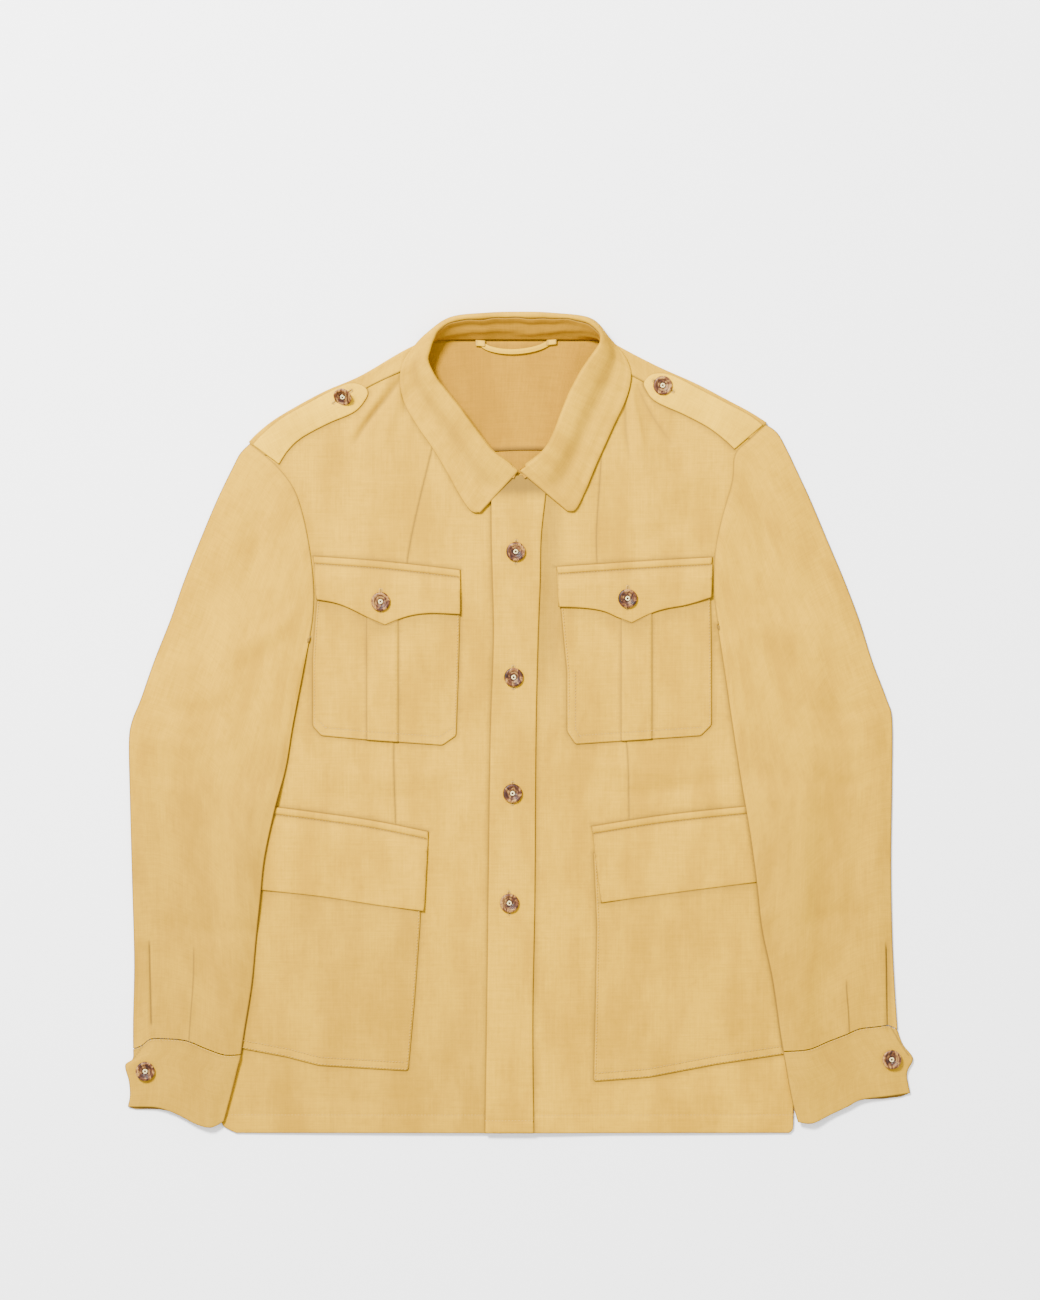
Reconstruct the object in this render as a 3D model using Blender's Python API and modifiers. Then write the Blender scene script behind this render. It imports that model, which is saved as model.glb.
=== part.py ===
"""A safari jacket that lies on its back, buttoned, with its sleeves down along its sides.

Each piece that a maker cuts is a solid of its own. Sizes are millimetres in a frame whose origin
is on the surface under the middle of the jacket: +X is the wearer's left, +Y runs to the collar
and +Z is up. A table gives "out", the distance from the middle towards a side, and "up", the
place along the jacket's length. The two sides differ a little, as cloth laid by hand does.
"""
from math import cos, pi, radians, sin

import bmesh
import bpy
from mathutils import Vector

MM = 0.001
RIGHT, LEFT = -1, 1
SIDE_NAMES = {RIGHT: "right", LEFT: "left"}

# Cloth and the way it lies
CLOTH = 1.2
DOUBLE = 1.6
GAP = 0.3
SEAM = 0.5
HALF_WIDTH = 262.0
BELLY = 1.9
SHOULDER_ROOM = 0.7
LAP_START, LAP_END = 20.0, 92.0
SHOULDER_RISE = (150.0, 230.0)
PLACKET_EASE = {-1: (50.0, 31.0), 1: (46.0, 30.0)}
UNDERLAP = 12.0
HEM = -385.5
BACK_NECK = 359.0
NECK_POINT = 229.0
PLEAT = 1.2
PLEAT_STEP = 0.8
FLAP_RISE = (6.0, 22.0)
SLEEVE_EDGE = 4.6
SLEEVE_MIDDLE = 1.6
CUFF_EDGE = 6.4
CUFF_MIDDLE = 0.4
FOLD = 2.2
GRID_X, GRID_Y = 24.0, 44.0
CUT_ROOM = 3.0
CUT_REACH = 0.05
BACK_LINES = {"lines_x": (-90, 0, 90), "lines_y": (150, 0, -150, -290)}
CHEST_FLAP_DROPS = (8, 14, 21, 36)
LOWER_FLAP_LINES = (-86, -92, -98, -104, -110, -116, -124, -140)
CURVE_STEPS = 12

# Where a sleeve climbs on to the body, as pairs: still down, fully up
STEP_OUT = (42.0, 9.0)
STEP_UP = (118.0, 84.0)
POCKET_OUT = (290.0, 264.0)
POCKET_UP = (-48.0, -74.0)
FLAP_UP = (-200.0, -176.0)

# Buttons
BUTTON_RADIUS = 9.0
BUTTON_THICK = 3.2
BUTTON_SIDES = 18
# Columns: part of the radius, height
BUTTON_PROFILE = [(0, 2.2), (0.55, 2.2), (0.72, BUTTON_THICK), (0.9, BUTTON_THICK), (1, 2.3), (1, 1.2),
                  (0.85, 0.1), (0.8, 0), (0, 0)]

CLOTH_COLOUR = (0.74, 0.53, 0.26, 1)
BUTTON_COLOUR = (0.42, 0.27, 0.15, 1)

# Lines of the cut, columns: out, up
SHOULDER = {
    RIGHT: [(253, 263), (243, 273), (224, 287), (184, 309), (149, 324), (111, 346), (89, 357)],
    LEFT: [(232, 281), (216, 291), (195, 302), (166, 317), (132, 332), (104, 346), (84, 357)],
}
FORWARD_SEAM = {
    RIGHT: [(239, 252), (193, 284), (143, 316), (96, 337.5)],
    LEFT: [(217, 267), (170, 296), (118, 321), (89, 337)],
}
ARMHOLE_FRONT = {
    RIGHT: [(239, 252), (226, 240), (212, 221), (203, 195), (196, 158), (193, 125), (194, 99), (197, 80)],
    LEFT: [(217, 267), (203, 253), (200, 227), (190, 191), (184, 160), (183, 125), (185, 105), (187, 92)],
}
ARMHOLE_BACK_TOP = {
    RIGHT: [(253, 263), (245, 235), (240, 205)],
    LEFT: [(232, 281), (225, 250), (222, 215)],
}
ARMHOLE_BACK = {
    RIGHT: [(240, 205), (238, 160), (243, 105), (262, 52)],
    LEFT: [(222, 215), (224, 170), (236, 110), (264, 64)],
}
ARMHOLE_LOWER = {
    RIGHT: [(262, 52), (223, 60), (197, 80)],
    LEFT: [(264, 64), (217, 71), (187, 92)],
}
BODY_SIDE = {
    RIGHT: [(262, 52), (259, -35), (257, -119), (257, -195), (260, -260), (266, -307), (273, -340),
            (280, -370)],
    LEFT: [(264, 64), (259, -25), (255, -119), (253, -195), (254, -260), (256, -312), (258, -352),
           (258, -376)],
}
HEM_CORNER = {
    RIGHT: [(280, -370), (278, -379), (266, HEM)],
    LEFT: [(258, -376), (257.5, -382), (254, HEM)],
}
BACK_SEAM = [(0, 256), (60, 253), (120, 241), (180, 225), (222, 215)]
SLEEVE_OUTER = {
    RIGHT: [(253, 263), (262, 254), (268, 243), (284, 210), (300, 172), (315, 134), (328, 97), (343, 59),
            (356, 22), (364, 2), (367, -18), (366, -72), (364, -148), (362, -223), (363, -279), (363, -306)],
    LEFT: [(232, 281), (243, 273), (252, 257), (262, 236), (274, 210), (290, 172), (306, 134), (320, 97),
           (332, 59), (346, 22), (351, 3), (351, -54), (350, -129), (351, -195), (353, -242), (356, -288)],
}
SLEEVE_INNER = {
    RIGHT: [(197, 80), (205, 37), (213, -5), (219, -42), (229, -80), (239, -127), (243, -166), (247, -204),
            (251, -246), (258, -290), (261, -311)],
    LEFT: [(187, 92), (191, 64), (196, 30), (202, -11), (210, -63), (217, -105), (223, -149), (228, -193),
           (238, -241), (245, -290), (248, -308)],
}
CUFF_SEAM = {
    RIGHT: [(363, -306), (355, -303), (347, -297), (337, -296), (313, -298), (295, -305), (277, -311),
            (261, -311)],
    LEFT: [(356, -288), (347, -284), (336, -285), (320, -287), (308, -292), (290, -299), (272, -306),
           (248, -308)],
}
CUFF_OUTER = {
    RIGHT: [(363, -307), (363.5, -316), (370.5, -322), (367, -337), (366, -350), (368, -361)],
    LEFT: [(356, -289), (361, -302), (370.5, -315), (366, -326), (365, -333), (368, -348)],
}
CUFF_INNER = {
    RIGHT: [(261, -312), (269, -344), (277, -374)],
    LEFT: [(248, -309), (256, -353), (262, -375)],
}
CUFF_BOTTOM = {
    RIGHT: [(368, -361), (343, -361), (328, -365), (317, -370), (303, -377), (289, -380), (277, -374)],
    LEFT: [(368, -348), (344, -351), (322, -354), (308, -361), (293, -368), (276, -376), (262, -375)],
}

# Collar stations from the front edge to the middle of the back, columns:
# neck seam out and up, roll line out, up and height, leaf edge out and up
COLLAR = {
    RIGHT: [
        (1, 230, 3, 240, 14.5, 37, 198),
        (14, 236, 14, 247, 15, 46, 201),
        (28, 244, 27, 257, 15.5, 56, 216),
        (46, 260, 41, 275, 16, 67, 236),
        (62, 281, 54, 293, 16.5, 80, 258),
        (77, 301, 68, 310, 17, 94, 278),
        (88, 320, 80, 326, 18, 106, 299),
        (93, 338, 86, 340, 19, 111, 320),
        (88, 352, 84, 350, 20, 108, 338),
        (82, 357.5, 81, 359, 22, 97, 354),
        (70, 359, 75, 370, 24, 85, 366),
        (50, 359, 58, 378.5, 25.5, 64, 380),
        (25, 359, 28, 381, 26.5, 30, 383.4),
    ],
    LEFT: [
        (1, 230, 3, 240, 14.5, 44, 200),
        (15, 237, 13, 246.5, 15, 54, 202),
        (28, 246, 24, 256, 15.5, 62, 219),
        (40, 261, 32, 269, 16, 71, 241),
        (49, 279, 39, 287, 16.5, 80, 261),
        (58, 297, 46, 305, 17, 89, 281),
        (68, 315, 55, 323, 18, 98, 300),
        (78, 332, 64, 338, 19, 103, 315),
        (85, 346, 73, 350, 20, 104, 331),
        (80, 357, 77, 358, 22, 97, 346),
        (68, 359, 75, 368, 24, 84, 361),
        (48, 359, 60, 378, 25.5, 67, 379),
        (25, 359, 28, 381, 26.5, 30, 383.4),
    ],
}
COLLAR_BACK = (0, 359, 0, 381.5, 27, 0, 383.8)
NECK_ROWS = 7
SEAM_UNDER_ROLL = 0.24
LEAF_STEPS = 6
LEAF_BEHIND = 2.2
LEAF_ROUND = 3.2
FOOT_INSET = 1.5
FOOT_LIFT = 0.85
STAND_GAP = 3 * GAP
TURN_REACH = (7.0, 22.0)
NECK_MIDDLE = Vector((0, 300))

# Pieces on the fronts, columns: up, inner out, outer out
PLACKET = [(224, -26, 26), (176, -26, 21), (134, -25, 20), (78, -24, 18), (-16, -27, 16), (-160, -29, 15),
           (-279, -30.5, 13), (HEM, -32, 14)]
FRONT_BUTTONS = [(-3, 161), (-5, 43), (-6, -66), (-9, -169)]

# Pockets, columns: out, up, clockwise from the top inner corner
CHEST_POCKET = {
    RIGHT: [(55, 118), (57, 44), (59, -12), (72, -21), (143, -16), (186, -12), (194, -3), (194, 60),
            (192, 90), (189, 128)],
    LEFT: [(38, 121), (42, 78), (45, 48), (45, -8), (53, -20), (98, -17), (171, -12), (181, -2), (181, 60),
           (180, 128)],
}
PLEAT_LINES = {RIGHT: (113.5, 143), LEFT: (96, 125)}
CHEST_FLAP_TOP = {RIGHT: [(55, 144), (126, 152), (193.5, 157)], LEFT: [(35, 147), (109, 152), (182, 156)]}
CHEST_FLAP_LOW = {
    RIGHT: [(55, 102), (84, 103), (105, 100), (126, 92), (142, 99), (160, 108), (174, 113), (190.5, 116)],
    LEFT: [(37, 109), (61, 108), (79, 105), (93, 99), (106, 94), (122, 102), (137, 107), (158, 111),
           (181, 118)],
}
CHEST_BUTTON = {RIGHT: (130, 114), LEFT: (102, 117)}
LOWER_POCKET = {
    RIGHT: [(90, -128), (93, -190), (98, -260), (104, -327), (188, -322), (219, -314), (262, -306),
            (255, -240), (250, -190), (246, -118)],
    LEFT: [(70, -122), (73, -189), (72, -252), (70, -337), (122, -333), (185, -321), (252, -311), (248, -270),
           (239, -210), (231, -112)],
}
LOWER_FLAP_TOP = {RIGHT: [(85, -102), (146, -90), (242, -77)], LEFT: [(68, -97), (139, -86), (224, -77)]}
LOWER_FLAP_LOW = {RIGHT: [(89, -177), (135, -171), (188, -163), (253, -156)],
                  LEFT: [(77, -169), (143, -160), (221, -150), (235, -148.5)]}
EPAULETTE = {
    RIGHT: [(250.5, 261.5), (242, 271), (224, 286), (196, 302), (173, 314), (159, 319.5), (148, 318),
            (142, 312), (144, 304), (155, 292), (180, 281), (204, 268), (217, 256), (225.5, 243)],
    LEFT: [(229.5, 280), (216, 290), (195, 301), (166, 316), (151, 324), (138, 328.5), (125, 328),
           (117.5, 321), (118.5, 314), (128, 302), (154, 290), (177, 278), (193, 266), (202.5, 257)],
}
SHOULDER_BUTTON = {RIGHT: (165, 307), LEFT: (135, 317)}
CUFF_BUTTON = {RIGHT: (351, -327), LEFT: (350, -316)}

# Hanger loop, columns: across and up of the strap's middle line
HANGER = [(-37, 354.5), (-30, 349.5), (-19, 346.5), (-6, 345.5), (8, 347), (20, 350), (29, 354.5)]
HANGER_WIDTH = 4.0


def ramp(value, start, end):
    """0 before start and 1 after end, smooth between them."""
    part = min(max((value - start) / (end - start), 0.0), 1.0)
    return part * part * (3 - 2 * part)


def place(side, points):
    return [(side * out, up) for out, up in points]


def place_all(side, points):
    return [Vector((side * point.x, point.y)) for point in points]


def pairs(points):
    return [(point.x, point.y) for point in points]


def walk(points, steps, bend=True):
    """The ends of equal steps along a smooth line, or a straight-edged one, through the points."""
    line = [Vector(point) for point in points]
    dense = []
    for index in range(len(line) - 1):
        before, start, end = line[max(index - 1, 0)], line[index], line[index + 1]
        after = line[min(index + 2, len(line) - 1)]
        for part in range(CURVE_STEPS):
            t = part / CURVE_STEPS
            if bend:
                dense.append(0.5 * (2 * start + (end - before) * t
                                    + (2 * before - 5 * start + 4 * end - after) * t * t
                                    + (3 * start - before - 3 * end + after) * t ** 3))
            else:
                dense.append(start.lerp(end, t))
    dense.append(line[-1])
    total = sum((b - a).length for a, b in zip(dense, dense[1:]))
    result, done, index = [dense[0].copy()], 0.0, 0
    for step in range(1, steps):
        wanted = total * step / steps
        while done + (dense[index + 1] - dense[index]).length < wanted:
            done += (dense[index + 1] - dense[index]).length
            index += 1
        edge = dense[index + 1] - dense[index]
        result.append(dense[index] + edge * ((wanted - done) / edge.length))
    result.append(dense[-1].copy())
    return result


def level(points, place_on_line):
    """The second column of a table at a value of its first one."""
    rows = sorted(points)
    for (a, low), (b, high) in zip(rows, rows[1:]):
        if a <= place_on_line <= b:
            return low + (high - low) * (place_on_line - a) / (b - a)
    return rows[0][1] if place_on_line < rows[0][0] else rows[-1][1]


# How high each layer lies

def loft(x, y):
    """The air between back and front."""
    across = max(0.0, 1 - (x / HALF_WIDTH) ** 2)
    return GAP + BELLY * across + SHOULDER_ROOM * ramp(y, *SHOULDER_RISE)


def front_top(side, x, y):
    lap = (CLOTH + GAP) * ramp(x, LAP_END, LAP_START) if side == LEFT else 0.0
    return CLOTH + loft(x, y) + CLOTH + lap


def chest_top(x, y):
    """The top of both fronts with the placket, eased over the placket's edges."""
    if x < 0:
        return front_top(RIGHT, x, y) + (CLOTH + DOUBLE + 2 * GAP) * ramp(-x, *PLACKET_EASE[RIGHT])
    return front_top(LEFT, x, y) + (DOUBLE + GAP) * ramp(x, *PLACKET_EASE[LEFT])


def placket_top(x, y):
    return front_top(LEFT, x, y) + GAP + DOUBLE


def pocket_top(side, x, y):
    return front_top(side, x, y) + GAP + CLOTH


def chest_pocket_top(side, x, y):
    first, last = PLEAT_LINES[side]
    out = side * x
    pleat = ramp(out, first, first + PLEAT_STEP) * ramp(out, last, last - PLEAT_STEP)
    return pocket_top(side, x, y) + PLEAT * pleat


def flap_top(side, top_line, lift, x, y):
    """A flap lies on the front at its top edge and on the pocket further down."""
    drop = level(top_line, side * x) - y
    return front_top(side, x, y) + GAP + DOUBLE + lift * ramp(drop, *FLAP_RISE)


def sleeve_under(side, x, y):
    """The lowest face of a sleeve: on the floor outside the body, on the front and pockets inside."""
    out = side * x
    edge = level([(up, out_) for out_, up in BODY_SIDE[side]], y)
    over = ramp(out, edge + STEP_OUT[0], edge + STEP_OUT[1]) * ramp(y, *STEP_UP)
    pocket = ramp(out, *POCKET_OUT) * ramp(y, *POCKET_UP)
    flap = pocket * ramp(y, *FLAP_UP)
    stack = front_top(side, x, y) + 1.5 * GAP + (CLOTH + GAP) * pocket + (DOUBLE + 2 * GAP) * flap
    return over * stack


# Making meshes

def collection_for(name):
    made = bpy.data.collections.new(name)
    bpy.context.scene.collection.children.link(made)
    return made


def finish(name, colour, roughness):
    material = bpy.data.materials.new(name)
    material.use_nodes = True
    shader = material.node_tree.nodes["Principled BSDF"]
    shader.inputs["Base Color"].default_value = colour
    shader.inputs["Roughness"].default_value = roughness
    return material


def new_object(name, bm, colour=CLOTH_COLOUR, roughness=0.9):
    """The object of a mesh drawn in millimetres."""
    bmesh.ops.scale(bm, vec=(MM, MM, MM), verts=bm.verts)
    mesh = bpy.data.meshes.new(name)
    bm.to_mesh(mesh)
    bm.free()
    mesh.materials.append(finish(name, colour, roughness))
    made = bpy.data.objects.new(name, mesh)
    JACKET.objects.link(made)
    return made


def thicken(made, thickness):
    """Gives an outer surface its wall, inwards."""
    solid = made.modifiers.new("Wall", "SOLIDIFY")
    solid.thickness = thickness * MM
    solid.offset = -1
    solid.use_even_offset = False


def grid_lines(low, high, step):
    first = int(low // step) + 1
    return [index * step for index in range(first, int(high // step) + 1)]


def flat_piece(name, outline, top, thickness, lines_x=None, lines_y=None):
    """Cuts a piece along its outline, lays it on the surface top(x, y) and gives it its wall."""
    bm = bmesh.new()
    face = bm.faces.new([bm.verts.new((x, y, 0)) for x, y in outline])
    face.normal_update()
    if face.normal.z < 0:
        face.normal_flip()
    xs = [x for x, _ in outline]
    ys = [y for _, y in outline]
    lines_x = grid_lines(min(xs), max(xs), GRID_X) if lines_x is None else lines_x
    lines_y = grid_lines(min(ys), max(ys), GRID_Y) if lines_y is None else lines_y
    cuts = [((x, 0, 0), (1, 0, 0)) for x in lines_x] + [((0, y, 0), (0, 1, 0)) for y in lines_y]
    for point, normal in cuts:
        parts = bm.verts[:] + bm.edges[:] + bm.faces[:]
        bmesh.ops.bisect_plane(bm, geom=parts, dist=CUT_REACH, plane_co=point, plane_no=normal)
    for vert in bm.verts:
        vert.co.z = top(vert.co.x, vert.co.y)
    made = new_object(name, bm)
    thicken(made, thickness)
    return made


def lofted_piece(name, columns, thickness, ring=False, flip=False):
    """A surface through columns of points, side by side, with its wall. A ring's columns are closed."""
    bm = bmesh.new()
    made = [[bm.verts.new(point) for point in column] for column in columns]
    for first, second in zip(made, made[1:]):
        last = min(len(first), len(second))
        for index in range(last if ring else last - 1):
            follow = (index + 1) % last
            corners = [first[index], second[index], second[follow], first[follow]]
            bm.faces.new(reversed(corners) if flip else corners)
    piece = new_object(name, bm)
    thicken(piece, thickness)
    return piece


def patch(top, bottom, outer, inner):
    """A Coons patch: the points inside four edges, a row for each step down."""
    across, down = len(top) - 1, len(outer) - 1
    rows = []
    for j in range(down + 1):
        v = j / down
        row = []
        for i in range(across + 1):
            u = i / across
            point = (1 - v) * top[i] + v * bottom[i] + (1 - u) * outer[j] + u * inner[j]
            corners = ((1 - u) * (1 - v) * top[0] + u * (1 - v) * top[-1]
                       + (1 - u) * v * bottom[0] + u * v * bottom[-1])
            row.append(point - corners)
        rows.append(row)
    return rows


def flat_tube(name, side, upper, under, edge_height, middle_height, thickness):
    """A pressed tube, such as a sleeve: its upper and its under layer share two folded edges."""
    rings = []
    for top_row, low_row in zip(upper, under):
        ring = []
        last = len(top_row) - 1
        for i, point in enumerate(top_row):
            inset = {0: top_row[1] - top_row[0], last: top_row[-2] - top_row[-1]}.get(i)
            spot = point + inset.normalized() * FOLD if inset else point
            height = edge_height + middle_height * sin(pi * i / last)
            ring.append((spot.x, spot.y, sleeve_under(side, spot.x, spot.y) + height))
        for i in range(last + 1, -2, -1):
            at = min(max(i, 0), last)
            point = low_row[at]
            base = sleeve_under(side, point.x, point.y)
            if i != at:
                ring.append((point.x, point.y, base + edge_height / 2))
                continue
            inset = {0: low_row[1] - low_row[0], last: low_row[-2] - low_row[-1]}.get(i)
            spot = point + inset.normalized() * FOLD if inset else point
            ring.append((spot.x, spot.y, sleeve_under(side, spot.x, spot.y)))
        rings.append(ring)
    return lofted_piece(name, rings, thickness, ring=True, flip=side == LEFT)


# The pieces

def back_seam_point(side, row):
    """The seam under the back yoke, a little lower and longer on the wearer's right."""
    out, up = row
    wider = ARMHOLE_BACK[side][0][0] / BACK_SEAM[-1][0]
    lower = (BACK_SEAM[-1][1] - ARMHOLE_BACK[side][0][1]) * out / BACK_SEAM[-1][0]
    return side * out * wider, up - lower


def build_back():
    halves = {}
    for side in (RIGHT, LEFT):
        seam = [back_seam_point(side, row) for row in BACK_SEAM[1:-1]]
        edge = pairs(walk(ARMHOLE_BACK[side], 4)) + BODY_SIDE[side][1:-1] + pairs(walk(HEM_CORNER[side], 3))
        halves[side] = seam + place(side, edge)
    outline = [BACK_SEAM[0]] + halves[RIGHT] + halves[LEFT][::-1]
    flat_piece("back", outline, lambda x, y: CLOTH, CLOTH, **BACK_LINES)


def build_yoke():
    """Columns from the wearer's right armhole to the left one. Each runs up the back, and those at the
    shoulders go over the fold and down to the forward seam."""
    shoulder_steps, neck_steps = 6, 6
    last = 2 * shoulder_steps + neck_steps
    seam_line = [back_seam_point(RIGHT, row) for row in reversed(BACK_SEAM)]
    seam_line += [back_seam_point(LEFT, row) for row in BACK_SEAM[1:]]
    lower = walk(seam_line, last)
    halves = {}
    for side in (RIGHT, LEFT):
        armhole = place_all(side, walk(ARMHOLE_BACK_TOP[side], 2))
        shoulder = place_all(side, walk(SHOULDER[side], shoulder_steps))
        seam = place_all(side, walk(FORWARD_SEAM[side], shoulder_steps))
        halves[side] = []
        for i, top in enumerate(shoulder):
            below = lower[i] if side == RIGHT else lower[last - i]
            middle = armhole[1] if i == 0 else (below + top) / 2
            along = shoulder[min(i + 1, shoulder_steps)] - shoulder[max(i - 1, 0)]
            outward = Vector((-along.y, along.x)).normalized()
            if outward.y < 0:
                outward.negate()
            height = front_top(side, top.x, top.y)
            edge = top + outward * height / 2
            front = seam[i] + Vector((0, SEAM))
            halves[side].append([
                (below.x, below.y + SEAM, 0), (middle.x, middle.y, 0), (top.x, top.y, 0),
                (edge.x, edge.y, height / 2), (top.x, top.y, height),
                (front.x, front.y, front_top(side, front.x, front.y))])
    neck = []
    corners = [place(side, SHOULDER[side])[-1][0] for side in (RIGHT, LEFT)]
    for i in range(1, neck_steps):
        below = lower[shoulder_steps + i]
        x = corners[0] + (corners[1] - corners[0]) * i / neck_steps
        neck.append([(below.x, below.y + SEAM, 0), ((below.x + x) / 2, (below.y + BACK_NECK) / 2, 0),
                     (x, BACK_NECK, 0)])
    lofted_piece("yoke", halves[RIGHT] + neck + halves[LEFT][::-1], CLOTH, flip=True)


def build_front(side):
    """A front: forward seam, armhole, side, hem, front edge and neck edge, in turn."""
    outer = (FORWARD_SEAM[side][:0:-1] + pairs(walk(ARMHOLE_FRONT[side], 8))
             + pairs(walk(ARMHOLE_LOWER[side], 3))[-2::-1] + BODY_SIDE[side][1:-1]
             + pairs(walk(HEM_CORNER[side], 3)))
    front_edge = [(UNDERLAP, HEM), (UNDERLAP, NECK_POINT)]
    if side == LEFT:
        front_edge = [(low, up) for up, low, _ in reversed(PLACKET)] + [(PLACKET[0][1], NECK_POINT)]
    neck = [(row[0], row[1]) for row in COLLAR[side][1:NECK_ROWS + 1]]
    outline = place(side, outer) + front_edge + place(side, neck)
    flat_piece("front_" + SIDE_NAMES[side], outline, lambda x, y: front_top(side, x, y), CLOTH)


def build_placket():
    inner = [(low, up) for up, low, _ in PLACKET]
    outer = [(high, up) for up, _, high in PLACKET]
    flat_piece("placket", inner + outer[::-1], placket_top, DOUBLE)


def collar_stations():
    """From the right front end to the left one: stations from an end, foot, roll line and leaf edge."""
    def at(side, row):
        neck_out, neck_up, roll_out, roll_up, height, leaf_out, leaf_up = row
        return (Vector((side * neck_out, neck_up)), Vector((side * roll_out, roll_up, height)),
                Vector((side * leaf_out, leaf_up, 0)))
    round_neck = ([at(RIGHT, row) for row in COLLAR[RIGHT]] + [at(LEFT, COLLAR_BACK)]
                  + [at(LEFT, row) for row in reversed(COLLAR[LEFT])])
    last = len(round_neck) - 1
    for index, (neck, roll, leaf) in enumerate(round_neck):
        from_front = min(index, last - index)
        yield from_front, stand_foot(from_front, neck), roll, leaf


def stand_foot(from_front, neck):
    """Where the stand meets the neck edge: on the fronts, over the shoulder, on the yoke behind."""
    if from_front < NECK_ROWS + 2:
        spot = neck + (neck - NECK_MIDDLE).normalized() * FOOT_INSET
    else:
        spot = neck - Vector((0, FOOT_INSET))
    under = CLOTH if from_front > NECK_ROWS + 2 else chest_top(spot.x, spot.y)
    return Vector((spot.x, spot.y, under + GAP + FOOT_LIFT * DOUBLE))


def build_stand():
    columns = []
    for _, foot, roll, _ in collar_stations():
        top = roll.lerp(foot, SEAM_UNDER_ROLL)
        top = top + (foot - top).normalized() * STAND_GAP
        columns.append([foot, foot.lerp(top, 0.5), top])
    lofted_piece("collar_stand", columns, DOUBLE, flip=True)


def build_leaf():
    """From its seam inside the collar, over the roll line and down to the edge."""
    columns = []
    for from_front, foot, roll, leaf in collar_stations():
        away = Vector((leaf.x - roll.x, leaf.y - roll.y, 0))
        reach = away.length
        away.normalize()
        over = ramp(reach, *TURN_REACH)
        on_front = from_front <= NECK_ROWS + 3
        end = leaf.copy()
        end.z = chest_top(leaf.x, leaf.y) + GAP + DOUBLE if on_front else LEAF_BEHIND
        first = roll + away * max(0.3 * reach, LEAF_ROUND)
        second = end - away * 0.4 * reach * over
        second.z += (1 - over) * 0.5 * (roll.z - end.z)
        column = [roll.lerp(foot, SEAM_UNDER_ROLL)]
        for step in range(LEAF_STEPS + 1):
            t = step / LEAF_STEPS
            column.append((1 - t) ** 3 * roll + 3 * (1 - t) ** 2 * t * first + 3 * (1 - t) * t * t * second
                          + t ** 3 * end)
        columns.append(column)
    lofted_piece("collar_fall", columns, DOUBLE, flip=True)


def build_sleeve(side):
    front = [Vector(SHOULDER[side][0])] + walk(ARMHOLE_FRONT[side], 8)
    back = (walk(ARMHOLE_BACK_TOP[side], 2)[:-1] + walk(ARMHOLE_BACK[side], 4)[:-1]
            + walk(ARMHOLE_LOWER[side], 3))
    outer, inner = walk(SLEEVE_OUTER[side], 16), walk(SLEEVE_INNER[side], 16)
    layers = []
    for head in (front, back):
        rows = patch(head, walk(CUFF_SEAM[side], 9), outer, inner)
        rows[0] = [spot + Vector((SEAM, -SEAM)) for spot in rows[0]]
        layers.append([place_all(side, row) for row in rows])
    flat_tube("sleeve_" + SIDE_NAMES[side], side, *layers, SLEEVE_EDGE, SLEEVE_MIDDLE, CLOTH)


def build_cuff(side):
    outer = [Vector(spot) for spot in CUFF_OUTER[side]]
    rows = patch(walk(CUFF_SEAM[side], 9), walk(CUFF_BOTTOM[side], 9), outer, walk(CUFF_INNER[side], 5))
    rows[0] = [spot - Vector((0, SEAM)) for spot in rows[0]]
    rows = [place_all(side, row) for row in rows]
    flat_tube("cuff_" + SIDE_NAMES[side], side, rows, rows, CUFF_EDGE, CUFF_MIDDLE, DOUBLE)


def build_epaulette(side):
    flat_piece("epaulette_" + SIDE_NAMES[side], place(side, EPAULETTE[side]),
               lambda x, y: front_top(side, x, y) + GAP + DOUBLE, DOUBLE)


def build_chest(side):
    name = SIDE_NAMES[side]
    first, last = PLEAT_LINES[side]
    pleat_cuts = [side * line for line in (first, first + PLEAT_STEP, last - PLEAT_STEP, last)]
    outs = [side * out for out, _ in CHEST_POCKET[side]]
    lines = [x for x in grid_lines(min(outs), max(outs), GRID_X)
             if min(abs(x - cut) for cut in pleat_cuts) > CUT_ROOM]
    flat_piece("chest_pocket_" + name, place(side, CHEST_POCKET[side]),
               lambda x, y: chest_pocket_top(side, x, y), CLOTH, lines_x=lines + pleat_cuts)
    top_line = CHEST_FLAP_TOP[side]
    outline = top_line + CHEST_FLAP_LOW[side][::-1]
    rows = [level(top_line, sum(PLEAT_LINES[side]) / 2) - drop for drop in CHEST_FLAP_DROPS]
    flat_piece("chest_flap_" + name, place(side, outline),
               lambda x, y: flap_top(side, top_line, CLOTH + PLEAT + GAP, x, y), DOUBLE, lines_y=rows)


def build_lower(side):
    name = SIDE_NAMES[side]
    flat_piece("lower_pocket_" + name, place(side, LOWER_POCKET[side]),
               lambda x, y: pocket_top(side, x, y), CLOTH)
    top_line = LOWER_FLAP_TOP[side]
    outline = top_line + LOWER_FLAP_LOW[side][::-1]
    flat_piece("lower_flap_" + name, place(side, outline),
               lambda x, y: flap_top(side, top_line, CLOTH + GAP, x, y), DOUBLE, lines_y=LOWER_FLAP_LINES)


def build_hanger():
    line = walk(HANGER, 12)
    half = HANGER_WIDTH / 2
    columns = []
    for i, spot in enumerate(line):
        along = line[min(i + 1, 12)] - line[max(i - 1, 0)]
        across = Vector((-along.y, along.x)).normalized() * half
        low, high = spot - across, spot + across
        columns.append([(low.x, low.y, 2 * CLOTH + GAP), (high.x, high.y, 2 * CLOTH + GAP)])
    lofted_piece("hanger_loop", columns, CLOTH)


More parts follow.
